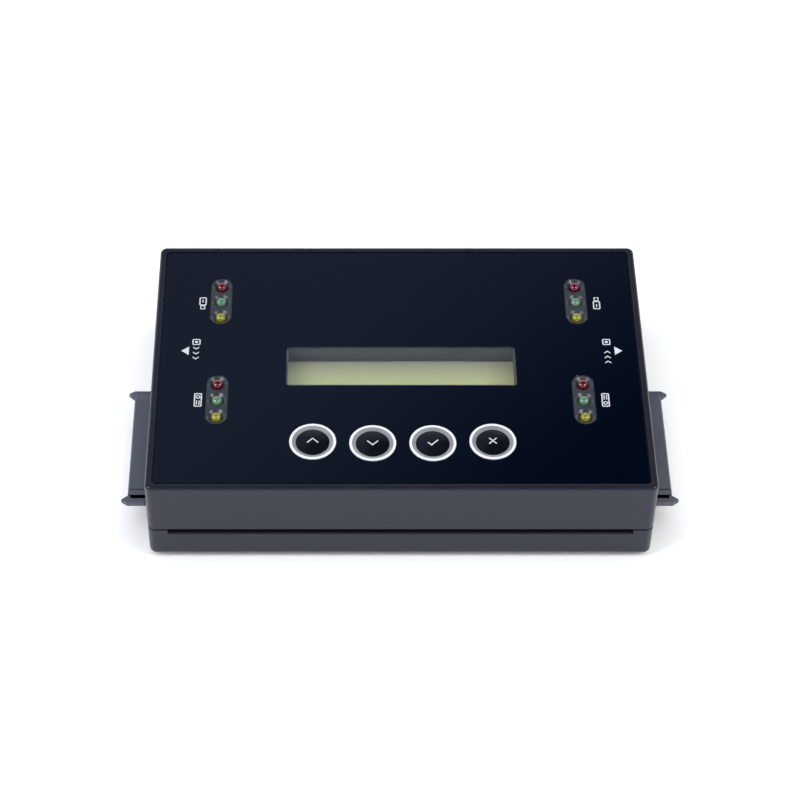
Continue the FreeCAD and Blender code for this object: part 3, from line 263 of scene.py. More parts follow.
def round_corners(width, depth, radius, x=0.0, y=0.0, steps=12):
    """Outline of a rectangle with round corners: corner centre + radius (cos a, sin a)."""
    a = np.linspace(0, math.pi / 2, steps)[None, :] + np.arange(4)[:, None] * math.pi / 2
    sx = np.array([1, -1, -1, 1])[:, None] * (width / 2 - radius)
    sy = np.array([1, 1, -1, -1])[:, None] * (depth / 2 - radius)
    return np.stack([x + sx + radius * np.cos(a), y + sy + radius * np.sin(a)], -1).reshape(-1, 2)


def circle(radius, x, y, steps=96):
    """Outline of a circle: (x + r cos a, y + r sin a)."""
    a = np.linspace(0, 2 * math.pi, steps, endpoint=False)
    return np.stack([x + radius * np.cos(a), y + radius * np.sin(a)], -1)


def together(parts):
    """One list of points and faces from several."""
    starts = np.cumsum([0] + [len(points) for points, _ in parts[:-1]])
    return (np.concatenate([points for points, _ in parts]),
            np.concatenate([faces + start for (_, faces), start in zip(parts, starts)]))


def tidy(mesh, sharp_degrees):
    """Closes seams and poles, points faces outwards and smooths all but the sharp edges."""
    work = bmesh.new()
    work.from_mesh(mesh)
    bmesh.ops.remove_doubles(work, verts=work.verts, dist=1e-7)
    bmesh.ops.recalc_face_normals(work, faces=work.faces)
    work.to_mesh(mesh)
    work.free()
    mesh.polygons.foreach_set("use_smooth", [True] * len(mesh.polygons))
    mesh.set_sharp_from_angle(angle=math.radians(sharp_degrees))
    mesh.update()


def piece(name, surface, material, body=HOUSING, replaces=()):
    """A new piece of the object from points and faces, riding on a body."""
    points, faces = surface
    mesh = bpy.data.meshes.new(name)
    mesh.from_pydata(points.tolist(), [], faces.tolist())
    tidy(mesh, sharp_degrees=35)
    place_piece(name, mesh, material, body, replaces)


def place_piece(name, mesh, material, body, replaces):
    """Links a mesh as a piece, with its finish, body, replaced nodes and material slot."""
    mesh.materials.append(material)
    made = bpy.data.objects.new(name, mesh)
    bpy.context.scene.collection.objects.link(made)
    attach(made, body)
    if replaces:
        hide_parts(*replaces)


def flat_piece(name, outlines, z_low, z_high, bevel, material, replaces=()):
    """A sheet with holes: closed outlines filled by the even-odd rule, rims bevelled, faces flat."""
    curve = bpy.data.curves.new(name, "CURVE")
    curve.dimensions = "2D"
    curve.fill_mode = "BOTH"
    curve.offset = -bevel
    curve.extrude = (z_high - z_low) / 2 - bevel
    curve.bevel_depth = bevel
    curve.bevel_resolution = 3
    for outline in outlines:
        spline = curve.splines.new("POLY")
        spline.points.add(len(outline) - 1)
        count = len(outline)
        flat = np.concatenate([outline, np.zeros((count, 1)), np.ones((count, 1))], 1)
        spline.points.foreach_set("co", flat.ravel())
        spline.use_cyclic_u = True
    shape = bpy.data.objects.new(name + "_outline", curve)
    bpy.context.scene.collection.objects.link(shape)
    bpy.context.view_layer.update()
    mesh = bpy.data.meshes.new_from_object(
        shape.evaluated_get(bpy.context.evaluated_depsgraph_get()))
    bpy.data.objects.remove(shape)
    mesh.transform(Matrix.Translation((0, 0, (z_low + z_high) / 2)))
    mesh.name = name
    tidy(mesh, sharp_degrees=12)
    normals = np.zeros(len(mesh.polygons) * 3)
    mesh.polygons.foreach_get("normal", normals)
    level = np.abs(normals.reshape(-1, 3)[:, 2]) >= 0.999
    mesh.polygons.foreach_set("use_smooth", ~level)
    mesh.update()
    place_piece(name, mesh, material, HOUSING, replaces)


def middle(node):
    """The centre of a CAD node's box."""
    low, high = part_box(node)
    return (low + high) / 2


def radius_of(node):
    """Half the width of a CAD node's box."""
    low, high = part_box(node)
    return (high.x - low.x) / 2


def lamp_centres(colour):
    """(x, y) of a colour's four lamps, found as the four clumps of its node's points."""
    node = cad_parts[colour + "_lamps"]
    points = np.zeros(len(node.data.vertices) * 3)
    node.data.vertices.foreach_get("co", points)
    points = points.reshape(-1, 3)
    centre = (points.max(0) + points.min(0)) / 2
    found = []
    for side, row in LAMP_GROUPS:
        on_side = np.sign(points[:, 0] - centre[0]) == side
        in_row = (points[:, 1] > centre[1]) == bool(row)
        clump = points[on_side & in_row]
        found.append(tuple(((clump.max(0) + clump.min(0)) / 2)[:2]))
    return found


# ---- settings

def colour_setting(name, description, hex_colour):
    """A colour that a user can change, given as sRGB hex."""
    return FloatVectorProperty(name=name, description=description, subtype="COLOR", size=3,
                               min=0.0, max=1.0, default=linear(hex_colour))


def number_setting(name, description, default, **limits):
    """A plain number that a user can change."""
    return FloatProperty(name=name, description=description, default=default, **limits)


def length_setting(name, description, millimetres):
    """A length that a user can change, in metres, given in millimetres."""
    return number_setting(name, description, millimetres * MM, min=0.0, precision=5,
                          subtype="DISTANCE", unit="LENGTH")


class CaseSettings(bpy.types.PropertyGroup):
    """Colours and grain of the moulded case."""
    shell: colour_setting("Shell", "Moulded ABS of the tray and the cover", "#1D1F28")
    socket: colour_setting("Socket", "Glass-filled nylon of the drive sockets", "#545863")
    grain: length_setting("Grain", "Width of the spark-eroded grain on the mould", 0.35)
    grain_depth: length_setting("Grain depth", "Depth of that grain", 0.028)


class PanelSettings(bpy.types.PropertyGroup):
    """Colours and edges of the face panel and its print."""
    sheet: colour_setting("Sheet", "Back-printed acrylic of the face panel", "#020816")
    ink: colour_setting("Ink", "Screen ink of the printed marks", "#C9CCD1")
    edge: length_setting("Edge", "Bevel on the panel's cut edges", 0.12)
    ink_height: length_setting("Ink height", "How far the ink stands out", 0.012)
    stroke: length_setting("Stroke", "Width of the lines of the printed marks", 0.34)


class KeySettings(bpy.types.PropertyGroup):
    """Colours and forms of the keys."""
    band: colour_setting("Band", "White-silver lacquer on the rim of each key ring", "#E4E6EA")
    ring: colour_setting("Ring", "Silver paint on the inner bevel of each key ring", "#9A9CA2")
    cap: colour_setting("Cap", "Black ABS of the key caps", "#080B14")
    stroke: length_setting("Stroke", "Width of the lines of the key symbols", 0.36)


class LampSettings(bpy.types.PropertyGroup):
    """Colours of the lamps' epoxy."""
    red: colour_setting("Red", "Epoxy of the red lamps", "#6A0010")
    green: colour_setting("Green", "Epoxy of the green lamps", "#608C70")
    yellow: colour_setting("Yellow", "Epoxy of the yellow lamps", "#969418")
    cup: colour_setting("Cup", "Polystyrene of the cups round the lamps", "#30343B")


class DisplaySettings(bpy.types.PropertyGroup):
    """Colours of the character display."""
    glass: colour_setting("Glass", "Reflective liquid crystal glass", "#9DA278")
    gasket: colour_setting("Gasket", "Foam that lines the well of the display", "#4C4F56")
    cell: length_setting("Cell pitch", "Distance between two characters", 3.55)


class StageSettings(bpy.types.PropertyGroup):
    """Lights and camera of the studio."""
    box_power: number_setting("Softbox power", "Power of each softbox", 4.3, min=0.0, unit="POWER")
    box_size: length_setting("Softbox size", "Side of each softbox", 340)
    top_power: number_setting("Top light power", "Power of the wide top light", 11.5, min=0.0,
                              unit="POWER")
    horizon: number_setting("Horizon", "Strength of the pale horizon", 1.6, min=0.0)
    ceiling: colour_setting("Ceiling", "What the panel mirrors of the studio ceiling", "#7B839B")
    lens: number_setting("Lens", "Focal length in millimetres", 111.9, min=1.0)


SETTINGS = {"duplicator_case": CaseSettings, "duplicator_panel": PanelSettings,
            "duplicator_keys": KeySettings, "duplicator_lamps": LampSettings,
            "duplicator_display": DisplaySettings, "duplicator_stage": StageSettings}


# ---- pieces

class DressCase(bpy.types.Operator):
    """Finishes the tray and the cover: moulded ABS with a spark-eroded grain"""
    bl_idname = "duplicator.dress_case"
    bl_label = "Dress case"

    def execute(self, context):
        own = context.scene.duplicator_case
        # Black ABS from a spark-eroded mould: nearly black, but its satin grain carries the
        # pale surroundings, so upright walls look dark grey. The real grain is finer than the
        # setting, which is as coarse as it needs to show.
        material = finish_of("Moulded ABS, spark-eroded", own.shell, 0.3,
                             grain_mm=own.grain / MM, depth_mm=own.grain_depth / MM, change=0.05,
                             edge_mm=0.08, **{"IOR": 1.45, "Specular Tint": (0.78, 0.84, 1.0, 1.0)})
        dress(material, "lower_shell", "upper_shell")
        return {"FINISHED"}


class BuildPanel(bpy.types.Operator):
    """Builds the face panel: one glossy sheet with openings for window, keys and lamps"""
    bl_idname = "duplicator.build_panel"
    bl_label = "Build face panel"

    def execute(self, context):
        own = context.scene.duplicator_panel
        low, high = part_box("face_panel")
        outlines = [round_corners(high.x - low.x, high.y - low.y, PANEL_RADIUS), window_outline()]
        for index in KEYS:
            x, y, _ = middle(f"key_ring_{index}")
            outlines.append(circle(barrel_radius(index) + 0.1 * MM, x, y))
        outlines += [slot_outline(x, y) for x, y in lamp_slots()]
        # Acrylic sheet, dark ink on its back: a polished surface over a nearly black layer.
        material, tree = new_material("Back-printed acrylic")
        haze = spread(tree, grain(tree, 30.0, detail=4.0), 0.03, 0.07)
        shine(tree, {"Base Color": rgba(own.sheet), "Roughness": haze, "IOR": 1.49})
        flat_piece("panel_sheet", outlines, low.z, high.z, own.edge, material,
                   replaces=["face_panel"])
        return {"FINISHED"}


def window_outline(grow=0.0):
    """Outline of the window opening, which the flange of the lens laps all round."""
    low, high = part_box("window_lens")
    change = 2 * (grow - LENS_LAP)
    return round_corners(high.x - low.x + change, high.y - low.y + change, WINDOW_RADIUS + grow,
                         (low.x + high.x) / 2, (low.y + high.y) / 2)


def lamp_slots():
    """(x, y) of the middle lamp of each group."""
    return lamp_centres("green")


def slot_outline(x, y, grow=0.0):
    """Outline of the panel's opening round one group of three lamps."""
    radius = SLOT_RADIUS + grow
    return round_corners(2 * radius, 2 * (radius + LAMP_PITCH), radius, x, y, steps=24)


def barrel_radius(index):
    """Radius of the barrel that stands in the panel under a key ring's band."""
    return radius_of(f"key_ring_{index}") - BARREL_INSET


class BuildKeys(bpy.types.Operator):
    """Builds the lacquered bands and painted bevels of the rings, the crowned caps and symbols"""
    bl_idname = "duplicator.build_keys"
    bl_label = "Build keys"

    def execute(self, context):
        own = context.scene.duplicator_keys
        # White-silver lacquer: scatters light, so the band stays pale from every side.
        band_finish = finish_of("White-silver lacquer", own.band, 0.3, grain_mm=0.12,
                                depth_mm=0.002, change=0.02, IOR=1.5)
        # Silver paint with metal flakes: half scattering, half mirroring, so its tone turns with
        # the slope of the bevel.
        bevel_finish = finish_of("Silver flake paint", own.ring, 0.42, grain_mm=0.12, change=0.06,
                                 Metallic=0.35)
        # Plain black ABS from a polished mould: blue-black, with soft reflections on its crown.
        cap_finish = finish_of("Black ABS, polished mould", own.cap, 0.25, grain_mm=0.25,
                               depth_mm=0.006, change=0.1, IOR=1.5)
        ink = ink_finish(context)
        for index in KEYS:
            build_ring(index, band_finish, bevel_finish)
            build_cap(index, cap_finish)
            build_symbol(index, ink, own.stroke, context.scene.duplicator_panel.ink_height)
        return {"FINISHED"}


def ink_finish(context):
    """Screen ink: a flat white with a slightly uneven coat, made once."""
    name = "White screen ink"
    if name in bpy.data.materials:
        return bpy.data.materials[name]
    return finish_of(name, context.scene.duplicator_panel.ink, 0.5, grain_mm=0.08, depth_mm=0.001,
                     change=0.04)


def build_ring(index, band_finish, bevel_finish):
    """Two closed outlines turned about a ring's axis: its band, and its barrel with a bevel."""
    low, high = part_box(f"key_ring_{index}")
    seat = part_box("face_panel")[1].z
    centre = middle(f"key_ring_{index}")
    outer, barrel = radius_of(f"key_ring_{index}"), barrel_radius(index)
    step, inner = outer - BAND_WIDTH, outer - RING_WIDTH
    band = softened([(step, seat), (outer, seat), (outer, high.z), (step, high.z)],
                    np.array([0.02, 0.05, 0.28, 0.2]) * MM, closed=True)
    piece(f"key_ring_{index}_band", turned(band, centre, closed=True), band_finish,
          replaces=[f"key_ring_{index}"])
    bevel = softened([(inner, low.z), (barrel, low.z), (barrel, seat), (step, seat),
                      (step, high.z - 0.08 * MM), (inner + 0.06 * MM, high.z - 0.42 * MM),
                      (inner, high.z - 0.55 * MM)],
                     np.array([0.05, 0.02, 0.02, 0.01, 0.03, 0.06, 0.04]) * MM, closed=True)
    piece(f"key_ring_{index}_bevel", turned(bevel, centre, closed=True), bevel_finish)


def crown(index, x, y):
    """Height of a cap's face: top - (R - sqrt(R^2 - r^2)), a sphere of radius R about its axis.

    The top is a hair under the solid's, so that the ink on it stays inside the solid's box.
    """
    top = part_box(f"key_cap_{index}")[1].z - FACE_DROP
    centre = middle(f"key_cap_{index}")
    radius = (FACE_RADIUS ** 2 + FACE_RISE ** 2) / (2 * FACE_RISE)
    r2 = (x - centre.x) ** 2 + (y - centre.y) ** 2
    return top - radius + np.sqrt(radius ** 2 - r2)


def build_cap(index, material):
    """A cap's outline turned about its axis: crowned face, soft edge, skirt and flange."""
    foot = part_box(f"key_cap_{index}")[0].z
    centre = middle(f"key_cap_{index}")
    flange = radius_of(f"key_cap_{index}")
    skirt = flange - FLANGE_WIDTH
    r = np.linspace(0, FACE_RADIUS, 24)
    face = np.stack([r, crown(index, centre.x + r, centre.y)], -1)
    rim = softened([face[-1], (skirt, face[-1, 1]), (skirt, foot + FLANGE_HEIGHT),
                    (flange, foot + FLANGE_HEIGHT), (flange, foot), (0, foot)],
                   np.array([0, 0.25, 0.05, 0.06, 0.06, 0]) * MM)
    piece(f"key_cap_{index}_crowned", turned(np.concatenate([face, rim[1:]]), centre), material,
          body=f"key_{index}", replaces=[f"key_cap_{index}"])


def build_symbol(index, ink, stroke, height):
    """Lines inked on a cap: up and down on the first two keys, a tick and a cross on the others."""
    strokes = {1: [[(-1.5, -0.6), (0, 0.9), (1.5, -0.6)]],
               2: [[(-1.5, 0.6), (0, -0.9), (1.5, 0.6)]],
               3: [[(-1.35, 0.05), (-0.35, -0.95), (1.45, 0.95)]],
               4: [[(-1.0, -1.0), (1.0, 1.0)], [(-1.0, 1.0), (1.0, -1.0)]]}[index]
    centre = middle(f"key_cap_{index}")
    parts = [ribbon(np.array(line) * MM + (centre.x, centre.y), stroke,
                    lambda x, y: crown(index, x, y), height) for line in strokes]
    piece(f"key_symbol_{index}", together(parts), ink, body=f"key_{index}")


def filled(line, steps=10):
    """Points (1-t) A + t B along each run of a line, so that it can follow a curved surface."""
    t = np.linspace(0, 1, steps, endpoint=False)[:, None]
    spans = [(1 - t) * a + t * b for a, b in zip(line[:-1], line[1:])]
    return np.concatenate(spans + [line[-1:]])


def ribbon(line, width, surface, height):
    """A closed thin band along a line with mitred corners, lying height above a surface z(x, y)."""
    runs = np.diff(line, axis=0)
    runs /= np.linalg.norm(runs, axis=1, keepdims=True)
    sides = np.stack([-runs[:, 1], runs[:, 0]], -1)
    mitre = sides[:-1] + sides[1:]
    mitre /= np.maximum((mitre * sides[:-1]).sum(1, keepdims=True), 0.2)
    offset = np.concatenate([sides[:1], mitre, sides[-1:]]) * width / 2
    left, right = filled(line + offset), filled(line - offset)
    s = np.linspace(0, 1, 4)[None, :, None]
    plan = left[:, None] * (1 - s) + right[:, None] * s
    x, y = plan[..., 0], plan[..., 1]
    z = surface(x, y)
    top = np.stack([x, y, z + height], -1)
    base = np.stack([x, y, z - height], -1)[:, ::-1]
    loop = np.concatenate([top, base], 1)
    rows, columns = loop.shape[:2]
    walls = grid_faces(rows, columns, close_columns=True)
    half = columns // 2
    j = np.arange(half - 1)
    ends = [np.stack([k + j, k + j + 1, k + columns - 2 - j, k + columns - 1 - j], -1)
            for k in (0, (rows - 1) * columns)]
    return loop.reshape(-1, 3), np.concatenate([walls] + ends)


class BuildLamps(bpy.types.Operator):
    """Builds the epoxy lamps, their lead frames, and the cups and trays round them"""
    bl_idname = "duplicator.build_lamps"
    bl_label = "Build lamps"

    def execute(self, context):
        own = context.scene.duplicator_lamps
        # Tinned steel lead frame, a faint pale blur through the epoxy.
        tin = finish_of("Tinned lead frame", linear("#C8C8C4"), 0.3, grain_mm=0.1, Metallic=1.0)
        for colour in LAMP_COLOURS:
            # Tinted epoxy cast round the lead frame: milky and clear enough to glow, with a shiny
            # dome that mirrors each light as a small spot.
            epoxy, tree = new_material(f"{colour.title()} epoxy")
            shine(tree, {"Base Color": rgba(getattr(own, colour)), "IOR": 1.54,
                         "Roughness": spread(tree, grain(tree, 1.1), 0.1, 0.16),
                         "Transmission Weight": 0.2, "Subsurface Weight": 0.25,
                         "Subsurface Scale": 0.3 * MM, "Coat Weight": 1.0,
                         "Coat Roughness": 0.12, "Coat IOR": 1.6})
            low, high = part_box(colour + "_lamps")
            bodies, frames = [], []
            for x, y in lamp_centres(colour):
                bodies.append(turned(lamp_profile(low.z, high.z), (x, y), 64))
                frames.append(turned(dish_profile(low.z), (x, y - 0.4 * MM), 32))
                frames += [post((x, y), low.z, step) for step in (-1, 1)]
            piece(f"{colour}_lamp_lenses", together(bodies), epoxy,
                  replaces=[colour + "_lamps"])
            piece(f"{colour}_lamp_frames", together(frames), tin)
        # Grey polystyrene from a satin mould: the groups read paler than the panel, and each cup
        # round a lamp carries a soft gleam of the lights on its far side.
        satin = finish_of("Satin polystyrene", own.cup, 0.34, change=0.1, IOR=1.59)
        cups = [turned(cup_profile(), place, 64, closed=True)
                for colour in LAMP_COLOURS for place in lamp_centres(colour)]
        piece("lamp_cups", together(cups), satin)
        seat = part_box("face_panel")[0].z
        for index, (x, y) in enumerate(lamp_slots(), 1):
            holes = [circle(CUP_RADIUS, x, y + step * LAMP_PITCH) for step in (-1, 0, 1)]
            flat_piece(f"lamp_tray_{index}", [slot_outline(x, y, grow=-0.03 * MM)] + holes,
                       seat + 0.01 * MM, seat + TRAY_HEIGHT, 0.02 * MM, satin)
        return {"FINISHED"}


def cup_profile():
    """The cup round a lamp: a rim level with the tray, a slope of 39 degrees, a narrow foot."""
    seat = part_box("face_panel")[0].z
    rim, base = seat + TRAY_HEIGHT, seat - 0.62 * MM
    return softened([(CUP_FOOT, base), (CUP_RADIUS, base), (CUP_RADIUS, rim),
                     (CUP_RADIUS - 0.24 * MM, rim), (CUP_FOOT + 0.12 * MM, seat - 0.5 * MM),
                     (CUP_FOOT, seat - 0.52 * MM)],
                    np.array([0.02, 0.02, 0.01, 0.12, 0.06, 0.02]) * MM, closed=True)


def lamp_profile(base_z, top_z):
    """A lamp's outline: flat base, flange, round body and a dome (r sin a, top - r + r cos a)."""
    r, flange, flange_height = LAMP_RADIUS, LAMP_RADIUS + 0.4 * MM, 1.0 * MM
    z = base_z + LEAD_LENGTH
    a = np.linspace(0, math.pi / 2, 20)[::-1]
    dome = np.stack([r * np.sin(a), top_z - r + r * np.cos(a)], -1)
    foot = softened([(0, z), (flange, z), (flange, z + flange_height), (r, z + flange_height),
                     (r, top_z - r)], np.array([0, 0.08, 0.08, 0.1, 0]) * MM)
    return np.concatenate([foot, dome[1:]])


def dish_profile(base_z):
    """The small dish that holds the lamp's die, a cone of 60 degrees."""
    points = np.array([(0, 2.3), (0.35, 2.3), (0.62, 2.75), (0.7, 2.75), (0.45, 2.0), (0, 2.0)])
    return points * MM + (0, base_z + LEAD_LENGTH)


def post(place, base_z, step):
    """One square post of a lead frame: walls (x +- h, y +- h) from the board into the epoxy."""
    h = 0.25 * MM
    x, y = place[0], place[1] + step * LEAD_PITCH / 2
    top = base_z + (4.7 if step < 0 else 5.1) * MM
    corners = np.array([(-h, -h), (h, -h), (h, h), (-h, h)])
    points = np.concatenate([np.column_stack([corners + (x, y), np.full(4, z)])
                             for z in (base_z, top)])
    faces = np.array([(0, 1, 5, 4), (1, 2, 6, 5), (2, 3, 7, 6), (3, 0, 4, 7), (3, 2, 1, 0),
                      (4, 5, 6, 7)])
    return points, faces


class PrintMarks(bpy.types.Operator):
    """Prints the side arrows and plain pictograms on the panel"""
    bl_idname = "duplicator.print_marks"
    bl_label = "Print marks"

    def execute(self, context):
        own = context.scene.duplicator_panel
        ink = ink_finish(context)
        low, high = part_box("face_panel")
        arrow_y = (low.y + high.y) / 2 + ARROWS_BEHIND_MIDDLE
        stroke = own.stroke / MM
        for side, name in ((-1, "source"), (1, "target")):
            front, rear = sorted((place for place in lamp_slots() if place[0] * side > 0),
                                 key=lambda place: place[1])
            to_arrow, to_way, to_pictogram = (side * far * MM for far in MARK_PLACES[side])
            edge, beside = high.x * side, front[0] + to_pictogram
            outlines = [wall_arrow(side) * MM + (edge - to_arrow, arrow_y)]
            for marks, place in ((way_mark(side, stroke), (edge - to_way, arrow_y)),
                                 (stick_mark(stroke), (beside, rear[1] - 1.0 * MM)),
                                 (drive_mark(stroke), (beside, front[1] - 0.3 * MM))):
                outlines += [along_side(mark, side) * MM + place for mark in marks]
            flat_piece(f"{name}_print", outlines, high.z - own.ink_height,
                       high.z + own.ink_height, own.ink_height * 0.3, ink)
        return {"FINISHED"}


def along_side(mark, side):
    """Turns a mark's reading direction to run along its side wall, its top outwards."""
    return np.stack([side * -mark[:, 1], side * mark[:, 0]], -1)


def wall_arrow(side):
    """A solid triangle that points out of its side wall."""
    return np.array([(side * 1.1, 0.0), (side * -1.1, 1.6), (side * -1.1, -1.6)])


def framed(width, height, radius, stroke, x=0.0, y=0.0):
    """A rounded rectangle drawn as a line: its outer and its inner outline."""
    return [round_corners(width, height, radius, x, y, steps=6),
            round_corners(width - 2 * stroke, height - 2 * stroke, max(radius - stroke, 0.05),
                          x, y, steps=6)]


def chevron(x, half, stroke):
    """An angle that points along the reading direction, of two mitred bars."""
    slope = half * 0.75
    return np.array([(x - slope, half), (x + stroke - slope, half), (x + stroke, 0.0),
                     (x + stroke - slope, -half), (x - slope, -half), (x, 0.0)])


def way_mark(side, stroke):
    """A drive's square with three angles: leaving it on the source side, entering it on the other."""
    square = side * 3.4
    marks = framed(2.3, 2.3, 0.4, stroke, square) + [circle(0.45, square, 0, 24)]
    first = -4.2 if side > 0 else -0.9
    return marks + [chevron(first + step * 1.9, 0.85, stroke * 1.2) for step in (0, 1, 2)]


def stick_mark(stroke):
    """A memory stick: a rounded body with its plug and the plug's two windows."""
    marks = framed(3.2, 2.1, 0.45, stroke, -0.75) + framed(1.5, 1.4, 0.1, stroke * 0.8, 1.65)
    return marks + [round_corners(1.2, 0.3, 0.1, -0.9, 0, steps=4)]


def drive_mark(stroke):
    """A hard disk: a rounded case with a round platter, its hub and two short bars."""
    marks = framed(5.0, 2.2, 0.4, stroke)
    marks += [circle(0.66, -1.1, 0, 32), circle(0.36, -1.1, 0, 24)]
    return marks + [round_corners(1.7, 0.3, 0.1, 1.0, y, steps=4) for y in (0.35, -0.35)]


class DressDisplay(bpy.types.Operator):
    """Finishes the lens, the display glass with its faint cells and its frame; lines its well"""
    bl_idname = "duplicator.dress_display"
    bl_label = "Dress display"

    def execute(self, context):
        own = context.scene.duplicator_display
        dress(lens_finish(), "window_lens")
        dress(cell_glass(own), "display_glass")
        # Opal acrylic: a milky sheet that spreads the backlight.
        dress(finish_of("Opal acrylic", linear("#E4E6D2"), 0.4), "display_backlight")
        # Pressed steel under black lacquer: dark, with a soft shine along its bends.
        dress(finish_of("Black-lacquered steel", linear("#15161A"), 0.35, edge_mm=0.1),
              "display_frame")
        # Closed-cell foam: matt and finely pored.
        foam = finish_of("Closed-cell foam", own.gasket, 0.8, grain_mm=0.3, depth_mm=0.02,
                         change=0.06, IOR=1.4)
        gap = 0.02 * MM
        flat_piece("display_gasket",
                   [window_outline(-gap), window_outline(-gap - GASKET_THICKNESS)],
                   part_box("display_frame")[1].z + 0.05 * MM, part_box("window_lens")[0].z - gap,
                   0.04 * MM, foam)
        return {"FINISHED"}


def lens_finish():
    """Clear acrylic: polished faces, edges frosted by the saw, and light passes through it."""
    material, tree = new_material("Clear acrylic, sawn edges")
    facing = add(tree, "NewGeometry")
    axes = add(tree, "SeparateXYZ", {"Vector": facing.outputs["True Normal"]})
    upright = add(tree, "Math", {0: axes.outputs[2]}, operation="ABSOLUTE")
    face = add(tree, "Math", {0: upright.outputs[0], 1: 0.9}, operation="GREATER_THAN")
    colour = add(tree, "Mix", {"Factor": face.outputs[0], "A": rgba(linear("#50545F")),
                               "B": (0.98, 0.99, 0.98, 1)}, data_type="RGBA")
    gloss = add(tree, "Mix", {"Factor": face.outputs[0], "A": 0.6,
                              "B": spread(tree, grain(tree, 18.0), 0.005, 0.02)})
    clear = shine(tree, {"Base Color": colour.outputs["Result"], "IOR": 1.49,
                         "Roughness": gloss.outputs["Result"],
                         "Transmission Weight": face.outputs[0]})
    path = add(tree, "LightPath")
    through = add(tree, "BsdfTransparent", {"Color": (0.93, 0.94, 0.93, 1)})
    blend = add(tree, "MixShader", {0: path.outputs["Is Shadow Ray"], 1: clear,
                                    2: through.outputs[0]})
    output = next(node for node in tree.nodes if node.type == "OUTPUT_MATERIAL")
    tree.links.new(blend.outputs[0], output.inputs["Surface"])
    return material


def bars(tree, distance, pitch, share):
    """1 over the first share of each pitch of a distance, 0 over the rest."""
    part = add(tree, "Math", {0: distance, 1: pitch}, operation="DIVIDE")
    rest = add(tree, "Math", {0: part.outputs[0]}, operation="FRACT")
    return add(tree, "Math", {0: rest.outputs[0], 1: share}, operation="LESS_THAN").outputs[0]


def cell_glass(own):
    """Yellow-green reflective display glass; its idle dots darken it by a few hundredths."""
    centre = middle("display_glass")
    material, tree = new_material("Liquid crystal glass")
    place = add(tree, "TexCoord")
    moved = add(tree, "Mapping", {"Vector": place.outputs["Object"],
                                  "Location": (-centre.x, -centre.y, 0)})
    axes = add(tree, "SeparateXYZ", {"Vector": moved.outputs[0]})
    x, y = axes.outputs[0], axes.outputs[1]
    # Columns and rows of characters, then the dots in them: six across a pitch with its gap.
    masks = [bars(tree, x, own.cell, 0.83), bars(tree, y, own.cell * 1.68, 0.93),
             bars(tree, x, own.cell / 6, 0.9), bars(tree, y, own.cell / 5.07, 0.92)]
    dots = masks[0]
    for mask in masks[1:]:
        dots = add(tree, "Math", {0: dots, 1: mask}, operation="MULTIPLY").outputs[0]
    faint = add(tree, "Math", {0: dots, 1: 0.04}, operation="MULTIPLY")
    cloud = grain(tree, 40.0)
    front = tinted(tree, spread(tree, cloud, 0, 1), own.glass, 0.03)
    # Painted shade: the glass turns greyer and darker towards the far edge, under the well's back wall.
    grey = sum(own.glass) / 3
    rear = rgba([0.8 * (0.5 * c + 0.5 * grey) for c in own.glass])
    along = add(tree, "MapRange", {"Value": y, "From Min": -1.0 * MM, "From Max": 5.6 * MM})
    base = add(tree, "Mix", {"Factor": along.outputs["Result"], "A": front, "B": rear},
               data_type="RGBA").outputs["Result"]
    shade = add(tree, "Mix", {"Factor": faint.outputs[0], "A": base,
                              "B": rgba([c * 0.4 for c in own.glass])}, data_type="RGBA")
    shine(tree, {"Base Color": shade.outputs["Result"], "IOR": 1.5,
                 "Roughness": spread(tree, cloud, 0.28, 0.38), "Coat Weight": 0.4,
                 "Coat Roughness": 0.1})
    return material


class DressSockets(bpy.types.Operator):
    """Finishes the drive sockets, the stick sockets and the power inlet"""
    bl_idname = "duplicator.dress_sockets"
    bl_label = "Dress sockets"

    def execute(self, context):
        own = context.scene.duplicator_case
        # Glass-filled nylon: a matt, finely grained grey with soft edges; its narrow slots get painted
        # shade.
        nylon = finish_of("Glass-filled nylon", own.socket, 0.45, grain_mm=0.25, depth_mm=0.006,
                          edge_mm=0.14, painted_shade_mm=2.5)
        dress(nylon, "target_drive_housing", "source_drive_housing")
        # Cold-rolled steel with a nickel plate: bright and slightly uneven.
        steel = finish_of("Nickel-plated steel", linear("#B9B8B2"), 0.28, grain_mm=0.3,
                          change=0.04, edge_mm=0.05, Metallic=1.0)
        dress(steel, "target_stick_shell", "source_stick_shell")
        # Gold flashed over bronze: a warm yellow shine in the sockets' mouths.
        gold = finish_of("Gold-plated bronze", linear("#D9B26A"), 0.25, grain_mm=0.2, Metallic=1.0)
        dress(gold, "drive_contacts", "stick_contacts")
        # PBT: opaque, with the dull, clean surface of its mould.
        dress(finish_of("White PBT", linear("#DEDDD6"), 0.45, grain_mm=0.25, edge_mm=0.1),
              "target_stick_insulator", "source_stick_insulator")
        dress(finish_of("Black PBT", linear("#0E0F12"), 0.45, grain_mm=0.25, edge_mm=0.1),
              "inlet_housing")
        # Nickel over turned brass: a bright and slightly warm metal.
        dress(finish_of("Nickel-plated brass", linear("#C9C3B4"), 0.2, grain_mm=0.2, Metallic=1.0),
              "inlet_pin", "inlet_spring", "switch_terminals")
        return {"FINISHED"}


class DressSwitch(bpy.types.Operator):
    """Finishes the power switch, its rocker and its wires"""
    bl_idname = "duplicator.dress_switch"
    bl_label = "Dress power switch"

    def execute(self, context):
        # Polyamide from a fine-textured mould: black, with pale light along its soft edges.
        dress(finish_of("Black polyamide", linear("#0C0D0F"), 0.4, grain_mm=0.3, depth_mm=0.006,
                        edge_mm=0.12), "switch_housing", "switch_rocker")
        # Extruded PVC: a smooth, deep red with a waxy gloss.
        dress(finish_of("Red PVC", linear("#6E1512"), 0.35), "switch_wires")
        return {"FINISHED"}


